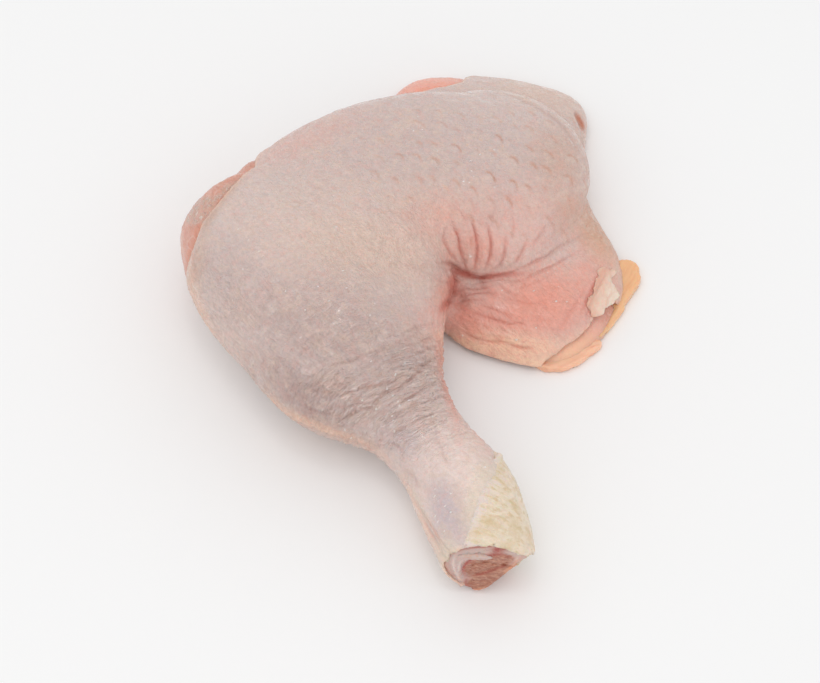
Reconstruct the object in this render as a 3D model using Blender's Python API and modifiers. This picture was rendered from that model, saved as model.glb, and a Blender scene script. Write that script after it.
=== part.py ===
"""Raw chicken leg quarter, lying skin side up on a board.

The thigh runs along X and the drumstick comes down from the knee, at -X, to the cut hock, at -Y. The meat
is one solid that rests on the board. The skin is a shell round its top and sides, open underneath, and cut
away at the knee, at the top edge and at the end of the belly flap. Metres, +Z up. The origin is on the
board, under the middle of the piece.
"""

import math

import bmesh
import bpy
import numpy as np
from mathutils import Vector

MM = 0.001
PIECE = "chicken_leg_quarter"

# Driving dimensions, in millimetres
SKIN = 1.6
GAP = 0.3
SKIN_HEM_HEIGHT = 1.5
CUFF_STEP = 0.5
SCRAP_THICKNESS = 1.2
FAT_THICKNESS = 3.0
LIP_THICKNESS = 2.4
WELL_CLEAR = 80.0

# Spacing of the surfaces' points in millimetres, and the triangles that are kept of them
FORM_GRID = 1.3
MEAT_GRID = 3.2
MELT_ROUNDS = 45
SKIN_TRIANGLES = 6000
MEAT_TRIANGLES = 2300
WELD_M = 1e-5

# Drumstick: x, y, z and radius along its middle, from past the cut hock to the knee
DRUMSTICK = (
    (31.0, -98.0, 11.5, 11.0),
    (22.8, -83.0, 12.4, 12.4),
    (18.6, -69.8, 13.3, 13.9),
    (13.9, -57.6, 13.4, 14.2),
    (4.4, -43.6, 14.5, 12.2),
    (-5.0, -32.5, 18.0, 16.8),
    (-15.0, -24.0, 22.0, 22.9),
    (-26.5, -8.0, 24.0, 25.4),
    (-40.2, 9.0, 23.5, 24.3),
    (-48.4, 26.6, 20.0, 20.8),
)

# Calf muscle along the inner side of the drumstick
CALF = (
    (-1.5, -28.0, 15.0, 11.5),
    (-6.0, -10.0, 20.0, 16.5),
    (-9.0, 7.0, 22.0, 19.5),
    (-20.0, 20.0, 21.0, 21.0),
)

# Flesh that fills the fold between the drumstick and the thigh
SADDLE = (
    (-42.0, 42.0, 17.0, 12.5),
    (-38.0, 34.0, 18.0, 16.8),
    (-29.0, 24.0, 19.5, 22.0),
    (-20.0, 15.0, 20.0, 24.6),
    (-9.0, 3.0, 19.5, 24.0),
    (2.0, -8.0, 18.0, 17.0),
)

# Lumps of muscle: centre, half sizes and turn about Z in degrees
THIGH = ((-7.0, 33.5, 20.5), (50.0, 30.0, 22.0), 21.0)
HIP = ((24.0, 44.0, 17.0), (29.0, 27.0, 17.0), -12.0)
FRONT = ((21.0, 19.0, 16.0), (20.0, 11.0, 11.0), -4.0)

# Back and belly flap, seen from above, as a stack of heights with the part of the outline's size kept there
APRON = (
    (-34, 52), (-17, 67), (-7, 82), (1, 89.5), (20, 89.5), (38, 86.5), (53, 78.2), (53.5, 64), (52, 50),
    (56.6, 34), (61.8, 22), (61.8, 8), (55.7, -5), (43, -13.5), (25, -11.5), (12, -5), (2, 6), (-15, 20),
)
APRON_LEVELS = ((4.5, 1.0), (7.5, 0.94), (10.5, 0.87), (13.0, 0.78))

# Cuts through the hock: x and y of a point on the board, the turn about Z and how far each leans back
HOCK_CUTS = ((20.0, -82.3, -3.0, 6.0), (26.0, -77.8, 37.0, 6.0))
MEAT_SET_BACK = 0.7

# How much of a crease or a wrinkle is left at its two ends
STROKE_END = 0.15

# Creases that skin and meat share: path, depth and half width
CREASES = (
    (
        ((12, 8, 22), (16, 8, 15), (21, 8, 14), (30, 9, 13), (36, 13, 14), (45, 20, 15), (55, 30, 8)),
        3.4, 2.8,
    ),
    (((10, 6, 26), (12, 6, 15), (13, 2, 12), (10, -6, 14)), 3.0, 3.0),
)

# Pleats and wrinkles of the skin alone: path, height (below nought for a groove) and half width
WRINKLES = (
    (((10, 14, 33), (10, 11, 30), (12, 9, 25)), -1.0, 1.2),
    (((12, 15, 33), (14, 13, 28), (15, 11, 19), (16, 10, 15)), -1.1, 1.2),
    (((18, 16, 29), (19, 14, 23), (19, 13, 16), (18, 10, 14)), -1.1, 1.2),
    (((23, 17, 24), (23, 15, 16), (21, 11, 14)), -1.1, 1.2),
    (((27, 16, 16), (26, 15, 15), (24, 13, 14)), -0.8, 1.1),
    (((33, 18, 17), (32, 16, 15), (31, 15, 14)), -0.8, 1.2),
    (((16, 16, 31), (17, 13, 22), (17, 11, 16)), 1.2, 1.5),
    (((20, 16, 26), (21, 14, 19), (20, 12, 15)), 1.2, 1.5),
    (((33, 11, 13), (40, 13, 13), (48, 19, 13)), 1.0, 1.6),
    (((17, 6, 13), (28, 5, 13), (40, 9, 13), (52, 17, 12)), -0.7, 1.3),
    (((21, -8, 8), (26, -8, 8), (31, -10, 8), (37, -10, 8)), -0.8, 1.1),
    (((24, -3, 11), (29, -4, 12), (35, -5, 11)), -0.7, 1.1),
    (((11, 3, 12), (13, 4, 12), (19, 5, 13)), -0.8, 1.2),
)

# Where the skin is cut away, seen from above
KNEE_WINDOW = (
    (-38, 49), (-42, 36), (-47, 23), (-53, 13), (-59, 5), (-66, 0), (-76, -2), (-90, 20), (-60, 60),
    (-42, 56),
)
TOP_WINDOW = ((-16, 74), (-5, 74), (5, 79), (16, 79), (27, 84), (30, 100), (-20, 100))
SLIT_WINDOW = ((48.5, 71), (50.5, 71.5), (52.5, 66), (52, 63), (50.5, 63.5))
FLAP_WINDOW = (
    (59, 7), (54, 2), (51, -3), (47, -7), (42, -10.5), (37, -15), (40, -30), (75, -20), (80, 5), (66, 7),
)

# Bare meat bulges out to so much of the skin's thickness, from so far inside a window's edge
BULGE = 1.5
BULGE_START = 0.5
BULGE_RUN = 2.5

# Below this height the meat comes down to the board, by at most so many times the skin's thickness
UNDERSIDE = 20.0
UNDERSIDE_MOST = 1.3

# Hock cuff, torn flake, yellow fat and inner fold of skin, seen from above
CUFF = (
    (21, -49), (23, -57), (19, -62), (17, -68), (15, -74), (13, -82), (14, -95), (48, -95), (48, -48),
    (27, -45),
)
SCRAP = ((57.5, 15), (59, 12), (58.5, 7), (55, 1), (51.5, -2), (50, 0), (53, 5), (55.5, 11))
FAT = (
    (60, 21.5), (64, 23), (66.6, 20.5), (66.6, 15.5), (63.6, 9.5), (59, 2), (54.4, -3.6), (50, -2.4), (48, 4),
    (52, 14),
)
LIP = ((35, -12), (40, -13.6), (45, -13.4), (51, -9.3), (55.3, -5.5), (53, -4.3), (46, -6), (38, -9))
BOARD = ((-200, -200), (200, -200), (200, 200), (-200, 200))

# Shin bone: x, y, z and radius along it, its two knobs at the hock, and the tendon above them
BONE = (
    (21.0, -84.0, 11.0, 4.2),
    (17.0, -66.0, 12.5, 4.6),
    (8.0, -48.0, 14.0, 3.8),
    (-12.0, -26.0, 19.0, 4.2),
    (-28.0, -6.0, 22.0, 5.2),
    (-38.0, 8.0, 22.0, 8.0),
)
BONE_KNOBS = (
    ((22.6, -77.0, 12.0), (7.0, 11.0, 5.2), 12.0),
    ((21.6, -77.0, 6.0), (5.4, 11.0, 3.6), 12.0),
)
TENDON = ((15.9, -75.0, 18.6), (3.5, 16.0, 1.7), 14.0)

SKIN_COLOUR = (0.64, 0.50, 0.46)
MEAT_COLOUR = (0.62, 0.33, 0.26)
BONE_COLOUR = (0.45, 0.22, 0.16)
TENDON_COLOUR = (0.66, 0.56, 0.54)
FAT_COLOUR = (0.78, 0.50, 0.24)
CUFF_COLOUR = (0.72, 0.60, 0.44)
SCRAP_COLOUR = (0.72, 0.60, 0.50)
LIP_COLOUR = (0.80, 0.46, 0.30)
WET = 0.3


def clear_scene():
    for obj in list(bpy.data.objects):
        bpy.data.objects.remove(obj)
    bpy.context.scene.collection.children.link(bpy.data.collections.new(PIECE))


def link(obj):
    bpy.data.collections[PIECE].objects.link(obj)
    return obj


def as_mesh(obj):
    """A mesh object with the shape of obj as it stands, modifiers applied; obj is removed."""
    bpy.context.view_layer.update()
    graph = bpy.context.evaluated_depsgraph_get()
    mesh = bpy.data.meshes.new_from_object(obj.evaluated_get(graph))
    mesh.transform(obj.matrix_world)
    name = obj.name
    bpy.data.objects.remove(obj)
    return link(bpy.data.objects.new(name, mesh))


def closed(obj):
    """A mesh object from a curve, its loose caps welded to its sides."""
    made = as_mesh(obj)
    bm = bmesh.new()
    bm.from_mesh(made.data)
    bmesh.ops.remove_doubles(bm, verts=bm.verts, dist=WELD_M)
    bm.to_mesh(made.data)
    bm.free()
    return made


def copy_of(name, obj):
    return link(bpy.data.objects.new(name, obj.data.copy()))


def limb(name, stations, roundness=4):
    """A round limb through the stations, each with its own radius."""
    curve = bpy.data.curves.new(name, "CURVE")
    curve.dimensions = "3D"
    curve.bevel_depth = MM
    curve.bevel_resolution = roundness
    curve.resolution_u = roundness + 2
    curve.use_fill_caps = True
    spline = curve.splines.new("BEZIER")
    spline.radius_interpolation = "CARDINAL"
    spline.bezier_points.add(len(stations) - 1)
    for point, (x, y, z, radius) in zip(spline.bezier_points, stations):
        point.co = Vector((x, y, z)) * MM
        point.radius = radius
        point.handle_left_type = point.handle_right_type = "AUTO"
    return closed(link(bpy.data.objects.new(name, curve)))


def lump(name, centre, half_sizes, turn, segments=32):
    bpy.ops.mesh.primitive_uv_sphere_add(segments=segments, ring_count=segments // 2, radius=MM)
    obj = bpy.context.object
    obj.name = name
    obj.location = Vector(centre) * MM
    obj.scale = half_sizes
    obj.rotation_euler = (0, 0, math.radians(turn))
    return as_mesh(obj)


def slab(name, outline, low, high, keep=1.0, round_edge=0.0):
    """The outline between two heights, drawn in about its middle to the part keep of its size."""
    curve = bpy.data.curves.new(name, "CURVE")
    curve.dimensions = "2D"
    curve.fill_mode = "BOTH"
    curve.resolution_u = 3 if round_edge else 5
    curve.extrude = ((high - low) / 2 - round_edge) * MM
    curve.bevel_depth = round_edge * MM
    curve.bevel_resolution = 0
    curve.offset = -round_edge * MM
    spline = curve.splines.new("BEZIER")
    spline.use_cyclic_u = True
    spline.bezier_points.add(len(outline) - 1)
    centre = np.mean(outline, axis=0)
    for point, (x, y) in zip(spline.bezier_points, centre + (np.array(outline) - centre) * keep):
        point.co = (x * MM, y * MM, 0)
        point.handle_left_type = point.handle_right_type = "AUTO"
    obj = link(bpy.data.objects.new(name, curve))
    obj.location.z = (high + low) / 2 * MM
    return closed(obj)


def column(name, outline):
    """A cutter over the outline that goes right through the piece."""
    return slab(name, outline, -WELL_CLEAR, WELL_CLEAR)


def joined(pieces):
    bpy.ops.object.select_all(action="DESELECT")
    for piece in pieces:
        piece.select_set(True)
    bpy.context.view_layer.objects.active = pieces[0]
    bpy.ops.object.join()
    return bpy.context.object


def melted(name, obj, grid, melt_rounds):
    """One closed surface round all of obj, its pieces melted together where they meet."""
    obj.name = name
    remesh = obj.modifiers.new("fuse", "REMESH")
    remesh.mode = "VOXEL"
    remesh.voxel_size = grid * MM
    melt = obj.modifiers.new("melt", "SMOOTH")
    melt.factor = 0.5
    melt.iterations = melt_rounds
    return as_mesh(obj)


def thinned(obj, triangles):
    """obj with about so many triangles, the most of them where it bends."""
    thin = obj.modifiers.new("thin", "DECIMATE")
    thin.ratio = triangles / sum(len(face.vertices) - 2 for face in obj.data.polygons)
    return as_mesh(obj)


def grown(name, obj, by):
    """A copy of obj with its surface moved out along its normals."""
    copy = copy_of(name, obj)
    push = copy.modifiers.new("grow", "DISPLACE")
    push.mid_level = 0.0
    push.strength = by * MM
    return as_mesh(copy)


def combine(obj, operation, other):
    """obj after a Boolean with other, which is removed."""
    cut = obj.modifiers.new(operation.lower(), "BOOLEAN")
    cut.operation = operation
    cut.solver = "MANIFOLD"
    cut.object = other
    made = as_mesh(obj)
    bpy.data.objects.remove(other)
    return made


def carve(obj, other):
    """obj with room cut in it for other, which is kept."""
    obj = combine(obj, "DIFFERENCE", grown("room", other, GAP))
    return combine(obj, "DIFFERENCE", copy_of("core", other))


def largest_body(obj):
    """obj without the loose crumbs that a Boolean leaves."""
    bm = bmesh.new()
    bm.from_mesh(obj.data)
    bm.faces.ensure_lookup_table()
    seen = set()
    bodies = []
    for start in bm.faces:
        if start in seen:
            continue
        body = [start]
        seen.add(start)
        for face in body:
            for edge in [edge for edge in face.edges if edge.is_manifold]:
                fresh = [other for other in edge.link_faces if other not in seen]
                seen.update(fresh)
                body.extend(fresh)
        bodies.append(body)
    bodies.sort(key=len)
    for body in bodies[:-1]:
        bmesh.ops.delete(bm, geom=body, context="FACES")
    bm.to_mesh(obj.data)
    bm.free()
    return obj


def places_of(obj):
    """The points of obj, in millimetres."""
    flat = np.empty(len(obj.data.vertices) * 3)
    obj.data.vertices.foreach_get("co", flat)
    return flat.reshape(-1, 3) / MM


def normals_of(obj):
    return np.array([vertex.normal for vertex in obj.data.vertices])


def set_places(obj, places):
    obj.data.vertices.foreach_set("co", (places * MM).ravel())
    obj.data.update()


def smooth_path(points, steps=6):
    """Points along a Catmull-Rom curve through the given ones."""
    points = np.array(points, float)
    ends = np.vstack([2 * points[0] - points[1], points, 2 * points[-1] - points[-2]])
    path = []
    for a, b, c, d in zip(ends, ends[1:], ends[2:], ends[3:]):
        bend = 2 * a - 5 * b + 4 * c - d
        twist = 3 * b - a - 3 * c + d
        for t in np.linspace(0, 1, steps, endpoint=False):
            path.append(b + ((c - a) * t + bend * t**2 + twist * t**3) / 2)
    path.append(points[-1])
    return np.array(path)


def to_path(places, path):
    """The distance from each place to the path, and how far along it the nearest point is, from 0 to 1."""
    nearest = np.full(len(places), np.inf)
    along = np.zeros(len(places))
    for step, (start, end) in enumerate(zip(path, path[1:])):
        run = end - start
        t = np.clip((places - start) @ run / (run @ run), 0, 1)
        distance = np.linalg.norm(places - start - t[:, None] * run, axis=1)
        closer = distance < nearest
        nearest[closer] = distance[closer]
        along[closer] = (step + t[closer]) / (len(path) - 1)
    return nearest, along


def stroke(obj, points, height, half_width):
    """Raises a ridge, or sinks a groove, along a path on the surface of obj, fading out at both ends."""
    places = places_of(obj)
    nearest, along = to_path(places, smooth_path(points))
    fade = np.clip(4 * along * (1 - along) + STROKE_END, 0, 1)
    lift = height * fade * np.exp(-((nearest / half_width) ** 2))
    set_places(obj, places + normals_of(obj) * lift[:, None])


def depth_inside(places, outline):
    """How far each place lies inside the outline, seen from above, and nought outside it."""
    flat = places[:, :2]
    corners = np.array(outline, float)
    inside = np.zeros(len(flat), bool)
    for (x1, y1), (x2, y2) in zip(corners, np.roll(corners, -1, axis=0)):
        spans = (y1 > flat[:, 1]) != (y2 > flat[:, 1])
        crossing = x1 + (flat[:, 1] - y1) * (x2 - x1) / ((y2 - y1) or 1.0)
        inside ^= spans & (flat[:, 0] < crossing)
    distance, _ = to_path(flat, np.vstack([corners, corners[:1]]))
    return np.where(inside, distance, 0.0)


def cut_hock(obj, set_back=0.0):
    """obj cut off at the hock, so far back from the cuts in the skin."""
    for x, y, *degrees in HOCK_CUTS:
        turn, lean = (math.radians(angle) for angle in degrees)
        away = Vector((math.sin(turn) * math.cos(lean), -math.cos(turn) * math.cos(lean), math.sin(lean)))
        bpy.ops.mesh.primitive_cube_add(size=2 * WELL_CLEAR * MM)
        block = bpy.context.object
        block.location = (Vector((x, y, 0.0)) + away * (WELL_CLEAR - set_back)) * MM
        block.rotation_euler = (-lean, 0, turn)
        obj = combine(obj, "DIFFERENCE", as_mesh(block))
    return obj


def make_form():
    """The whole outline of flesh and skin, before any cut."""
    lumps = [limb("drumstick", DRUMSTICK), limb("calf", CALF), limb("saddle", SADDLE)]
    lumps += [lump("thigh", *THIGH), lump("hip", *HIP), lump("front", *FRONT)]
    lumps += [slab("apron", APRON, 0, height, keep) for height, keep in APRON_LEVELS]
    form = melted("form", joined(lumps), FORM_GRID, MELT_ROUNDS)
    for path, depth, half_width in CREASES:
        stroke(form, path, -depth, half_width)
    return form


def make_meat(form):
    """The flesh under the skin, bulging a little where the skin is cut away, and flat where it rests."""
    body = copy_of("body", form)
    places = places_of(body)
    bare = np.zeros(len(places))
    for window in (KNEE_WINDOW, TOP_WINDOW, FLAP_WINDOW):
        bare = np.maximum(bare, np.clip((depth_inside(places, window) - BULGE_START) / BULGE_RUN, 0, 1))
    inset = SKIN + GAP - BULGE * bare
    places -= normals_of(body) * inset[:, None]
    places[:, 2] -= (SKIN + GAP) * np.clip(1 - places[:, 2] / UNDERSIDE, 0, UNDERSIDE_MOST)
    set_places(body, places)
    meat = thinned(melted("meat", body, MEAT_GRID, 1), MEAT_TRIANGLES)
    return trimmed_under(meat, 0)


def make_skin_form(form):
    """The outer surface of the skin, with its pleats."""
    outer = copy_of("outer", form)
    for path, height, half_width in WRINKLES:
        stroke(outer, path, height, half_width)
    return thinned(outer, SKIN_TRIANGLES)


def make_bone():
    bone = limb("shank_bone", BONE, roundness=2)
    for centre, half_sizes, turn in BONE_KNOBS:
        bone = combine(bone, "UNION", lump("knob", centre, half_sizes, turn, segments=16))
    return cut_hock(bone, MEAT_SET_BACK)


def make_tendon():
    return cut_hock(lump("tendon", *TENDON, segments=12), MEAT_SET_BACK)


def trimmed_under(obj, height):
    """obj without what lies below the height."""
    return combine(obj, "DIFFERENCE", slab("board", BOARD, -WELL_CLEAR, height))


def make_cuff(outer, meat):
    cuff = combine(grown("shank_cuff", outer, CUFF_STEP), "INTERSECT", column("patch", CUFF))
    return largest_body(trimmed_under(carve(cut_hock(cuff), meat), SKIN_HEM_HEIGHT))


def make_scrap(outer):
    scrap = grown("skin_scrap", outer, GAP + SCRAP_THICKNESS)
    return largest_body(carve(combine(scrap, "INTERSECT", column("patch", SCRAP)), outer))


def make_skin(outer, meat, neighbours):
    skin = carve(cut_hock(copy_of("skin", outer)), meat)
    for window in (KNEE_WINDOW, TOP_WINDOW, SLIT_WINDOW, FLAP_WINDOW):
        skin = combine(skin, "DIFFERENCE", column("window", window))
    patch = column("patch", CUFF)
    skin = combine(skin, "DIFFERENCE", grown("window", patch, 1.5 * GAP))
    bpy.data.objects.remove(patch)
    for neighbour in neighbours:
        skin = carve(skin, neighbour)
    return largest_body(trimmed_under(skin, SKIN_HEM_HEIGHT))


def paint(node, finish, colour):
    node.data.materials.clear()
    material = bpy.data.materials.new(finish)
    material.use_nodes = True
    shader = material.node_tree.nodes["Principled BSDF"]
    shader.inputs["Base Color"].default_value = (*colour, 1.0)
    shader.inputs["Roughness"].default_value = WET
    node.data.materials.append(material)


def centre_on_board(nodes):
    """Moves the nodes so that the origin is under the middle of the box round them all."""
    corners = np.vstack([places_of(node) for node in nodes])
    middle = (corners.min(axis=0) + corners.max(axis=0)) / 2
    for node in nodes:
        set_places(node, places_of(node) - (middle[0], middle[1], 0))


def main():
    clear_scene()
    form = make_form()
    meat = make_meat(form)
    outer = make_skin_form(form)
    fat = slab("flap_fat", FAT, 0, FAT_THICKNESS, round_edge=0.7)
    lip = slab("flap_lip", LIP, 0, LIP_THICKNESS, round_edge=0.6)
    bone = make_bone()
    tendon = make_tendon()
    skin = make_skin(outer, meat, (fat, lip))
    cuff = make_cuff(outer, meat)
    scrap = make_scrap(outer)
    meat = cut_hock(meat, MEAT_SET_BACK)
    for neighbour in (bone, tendon, fat, lip):
        meat = carve(meat, neighbour)
    meat = largest_body(meat)
    skin = largest_body(combine(skin, "DIFFERENCE", copy_of("core", meat)))
    for helper in (form, outer):
        bpy.data.objects.remove(helper)
    finishes = (
        (skin, "skin", SKIN_COLOUR),
        (meat, "meat", MEAT_COLOUR),
        (bone, "bone", BONE_COLOUR),
        (tendon, "tendon", TENDON_COLOUR),
        (fat, "fat", FAT_COLOUR),
        (lip, "lip", LIP_COLOUR),
        (cuff, "cuff", CUFF_COLOUR),
        (scrap, "scrap", SCRAP_COLOUR),
    )
    centre_on_board([node for node, _, _ in finishes])
    for node, finish, colour in finishes:
        paint(node, finish, colour)


if __name__ == "__main__":
    main()
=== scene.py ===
"""Looks of a raw chicken leg quarter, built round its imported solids.

The flesh and the skin are made again from the part's own sizes on a fine grid, and get the relief that the
solids leave out: pleats, wrinkles, pimples, fibres and scales. Sizes in the tables are millimetres in the
drawing's frame, whose origin is moved to the part's at the end. Strokes and colour patches are placed in a
picture frame 820 wide and 683 high, seen by the scene's own camera, and land on the surface behind them.
"""

import math

import bmesh
import bpy
import numpy as np
from bpy.props import FloatProperty, FloatVectorProperty, IntProperty, PointerProperty
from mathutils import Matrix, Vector
from mathutils.kdtree import KDTree


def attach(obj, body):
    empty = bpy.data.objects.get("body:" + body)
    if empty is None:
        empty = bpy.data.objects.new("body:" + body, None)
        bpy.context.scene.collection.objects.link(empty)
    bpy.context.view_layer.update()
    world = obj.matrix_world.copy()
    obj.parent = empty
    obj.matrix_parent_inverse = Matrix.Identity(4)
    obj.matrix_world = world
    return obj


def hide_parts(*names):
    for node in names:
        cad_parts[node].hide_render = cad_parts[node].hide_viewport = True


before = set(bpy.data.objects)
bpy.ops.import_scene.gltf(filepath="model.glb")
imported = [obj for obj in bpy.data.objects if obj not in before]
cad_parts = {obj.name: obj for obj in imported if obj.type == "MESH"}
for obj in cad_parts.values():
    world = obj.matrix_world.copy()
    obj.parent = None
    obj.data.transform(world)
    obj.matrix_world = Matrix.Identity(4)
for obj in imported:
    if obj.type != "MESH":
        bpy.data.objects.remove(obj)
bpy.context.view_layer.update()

bl_info = {
    "name": "Chicken leg quarter",
    "version": (1, 0, 0),
    "blender": (4, 5, 0),
    "location": "3D View > Sidebar > Leg quarter",
    "description": "Builds the skin, the meat and the trimmings of a raw chicken leg quarter",
    "category": "Object",
}

MM = 0.001
BODY = "root"

# Where the part's origin lies in the drawing
ORIGIN = np.array((1.011, 3.504, 0.0))

# Camera: target in the drawing, distance, degrees above the horizon, lens, sensor, and the picture's size
AIM = np.array((0.0, -12.0, 15.0))
CAMERA_DISTANCE = 637.9
CAMERA_ELEVATION = 60.0
LENS = 100.0
SENSOR = 36.0
PICTURE = (820, 683)

# The directions to the camera, and up in its picture
TILT = math.radians(CAMERA_ELEVATION)
TO_CAMERA = np.array((0, -math.cos(TILT), math.sin(TILT)))
PICTURE_UP = np.array((0, math.sin(TILT), math.cos(TILT)))

# The form, as the solids have it: limbs, each as x, y, z and radius along it
DRUMSTICK = (
    (31.0, -98.0, 11.5, 11.0),
    (22.8, -83.0, 12.4, 12.4),
    (18.6, -69.8, 13.3, 13.9),
    (13.9, -57.6, 13.4, 14.2),
    (4.4, -43.6, 14.5, 12.2),
    (-5.0, -32.5, 18.0, 16.8),
    (-15.0, -24.0, 22.0, 22.9),
    (-26.5, -8.0, 24.0, 25.4),
    (-40.2, 9.0, 23.5, 24.3),
    (-48.4, 26.6, 20.0, 20.1),
)
CALF = (
    (-1.5, -28.0, 15.0, 11.5),
    (-6.0, -10.0, 20.0, 16.5),
    (-9.0, 7.0, 22.0, 19.5),
    (-20.0, 20.0, 21.0, 21.0),
)
SADDLE = (
    (-42.0, 42.0, 17.0, 13.6),
    (-38.0, 34.0, 18.0, 16.8),
    (-29.0, 24.0, 19.5, 22.0),
    (-20.0, 15.0, 20.0, 24.6),
    (-9.0, 3.0, 19.5, 24.0),
    (2.0, -8.0, 18.0, 17.0),
)

# Lumps of muscle: middle, half sizes and turn
MUSCLES = (
    ((-7.0, 33.5, 20.5), (50.0, 30.0, 22.0), 21.0),
    ((24.0, 44.0, 17.0), (29.0, 27.0, 17.0), -12.0),
    ((21.0, 19.0, 16.0), (20.0, 11.0, 11.0), -4.0),
)

# The flap's outline, and its share at each height
APRON = (
    (-34, 52), (-17, 67), (-7, 82), (1, 89.5), (20, 89.5), (38, 86.5), (53, 78.2), (53.5, 64), (52, 50),
    (56.6, 34), (61.8, 22), (61.8, 8), (55.7, -5), (43, -13.5), (25, -11.5), (12, -5), (2, 6), (-15, 20),
)
APRON_LEVELS = ((4.5, 1.0), (7.5, 0.94), (10.5, 0.87), (13.0, 0.78))

# How far the form's parts melt together, in square millimetres
FORM_MELT = 76.0

# Furrows pressed into the form: path, depth and half width
CREASES = (
    (((12, 8, 22), (16, 8, 15), (21, 8, 14), (30, 9, 13), (36, 13, 14), (45, 20, 15), (55, 30, 8)), 2.2, 2.2),
    (((10, 6, 26), (12, 6, 15), (13, 2, 12), (10, -6, 14)), 2.4, 2.4),
)

# Where the form is smoothed further, in the flap: middle, radius and rounds
SOFTENED = ((40.0, 14.0, 14.0), 21.0, 306)

# The two cuts through the hock: a point on the board, the turn about Z and the lean
HOCK_CUTS = ((20.0, -82.3, -3.0, 6.0), (26.0, -76.4, 37.0, -18.0))

# How the cut skin wavers there: size, and waves along X and up
HOCK_WAVES = ((0.16, 1.1, 0.8), (0.1, 2.7, -1.9))

# How far the meat is cut back from the skin there, and how high the skin's hem is above the board
MEAT_SET_BACK = 0.7
HEM = 1.5

# The windows in the skin, seen from above
KNEE_WINDOW = (
    (-48, 56), (-45.5, 46), (-44.5, 38), (-45, 32), (-47, 26.5), (-50, 22), (-52.4, 18.5), (-54.8, 15),
    (-58, 11), (-60, 7), (-62, 4), (-66, 2), (-76, 0), (-90, 20), (-70, 60),
)
TOP_WINDOW = ((-22, 71), (-12, 73.5), (-4, 74.5), (5, 78.5), (12, 80), (16, 84), (17, 100), (-24, 100))
FLAP_WINDOW = (
    (59, 7), (54, 2), (51, -3), (47, -7), (42, -10.5), (37, -15), (40, -30), (75, -20), (80, 5), (66, 7),
)

# Each window's outline, how torn it is, and how far the meat bulges in it
WINDOWS = ((KNEE_WINDOW, 0.35, 1.25), (TOP_WINDOW, 0.6, 1.0), (FLAP_WINDOW, 0.3, 1.0))

# The cuff: outline from above, how torn it is, its seed and its thickness
CUFF = (
    (22, -48), (22.5, -54), (22, -58), (19.5, -61.5), (17.5, -65), (16.5, -69.5), (14.6, -74),
    (13.2, -79), (12.6, -84), (14, -95), (48, -95), (48, -48), (27, -45),
)
CUFF_TEAR = 0.35
CUFF_SEED = 4
CUFF_THICKNESS = 1.5

# The line in the picture where the cuff's scales start, and how far from it they are full
CUFF_SIDE = ((484, 470), (482, 481), (476, 492), (470, 506), (466, 520), (462, 534), (458, 550))
CUFF_START = 26.0

# How proud the cuff stands, and its raised tip as a stroke
CUFF_LIFT = 0.2
CUFF_TIP = (((491, 461), (497, 457), (503, 459)), 0.9, 3.2)

# The skin under the cuff: how far it runs on there, and how torn it ends
SKIN_UNDER_CUFF = 1.6
SKIN_TEAR = 0.5

# The flake: outline from above, how torn it is, its seed and its thickness
FLAKE = (
    (58.3, 16.4), (59.2, 14.8), (58.0, 11.8), (59.0, 7.4), (56.8, 3.9), (54.2, 1.2), (52.0, 0.2), (51.0, 2.0),
    (50.9, 4.6), (52.2, 8.0), (53.6, 11.4), (55.2, 14.9),
)
FLAKE_TEAR = 0.8
FLAKE_SEED = 11
FLAKE_THICKNESS = 0.8

# The line in the picture that holds the flake, and how far from it the flake is free
FLAKE_SIDE = ((590, 320), (588, 308), (592, 295), (597, 283), (602, 273), (607, 266))
FLAKE_RISE = 13.0

# The flake's curl: its height at the line, its rise from there, and a sway with its waves
FLAKE_CURL = (0.5, 0.6, 0.4, 0.9)

# The flake's relief as height and stretch, and its colour's stretch
FLAKE_GRAIN = (0.6, (0.5, 0.35, 0.5))
FLAKE_STREAKS = (0.5, 0.3, 0.5)

# The fat's and the fold's outlines from above
FAT = (
    (60, 21.5), (64, 23), (66.6, 20.5), (66.6, 15.5), (63.6, 9.5), (59, 2), (54.4, -3.6), (50, -2.4), (48, 4),
    (52, 14),
)
LIP = ((35, -12), (40, -13.6), (45, -13.4), (51, -9.3), (55.3, -5.5), (53, -4.3), (46, -6), (38, -9))

# Each one's outline, how torn it is, seed, height, grid, melt, and relief as height, stretch and turn
FAT_STRIP = (FAT, 0.35, 21, 3.3, 0.5, 2.2, (0.9, (0.9, 0.12, 0.5), 31.0))
LIP_STRIP = (LIP, 0.4, 22, 2.7, 0.45, 1.6, (0.6, (0.12, 0.8, 0.5), -24.0))

# The board that the piece lies on, and a size that clears the piece on all sides
BOARD = ((-200, -200), (200, -200), (200, 200), (-200, 200))
WELL_CLEAR = 80.0

# The shin bone: x, y, z and radius along it
BONE = (
    (21.0, -84.0, 11.0, 4.2),
    (17.0, -66.0, 12.5, 4.6),
    (8.0, -48.0, 14.0, 3.8),
    (-12.0, -26.0, 19.0, 4.2),
    (-28.0, -6.0, 22.0, 5.2),
    (-38.0, 8.0, 22.0, 8.0),
)

# Its knobs in the cut face: middle, half sizes and turn
BONE_KNOBS = (
    ((19.2, -77.0, 9.6), (4.8, 11.0, 4.0), 12.0),
    ((23.8, -77.0, 11.2), (4.6, 11.0, 3.8), 12.0),
    ((18.6, -77.0, 4.0), (4.0, 11.0, 2.4), 12.0),
    ((22.0, -77.0, 4.9), (3.8, 11.0, 2.3), 12.0),
)

# How far the bone stands out of the cut meat, its two grids, and its relief as height and stretch
BONE_PROUD = 0.35
BONE_GRIDS = (0.55, 0.45)
BONE_GRAIN = (0.35, (0.75, 0.75, 0.75))

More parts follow.
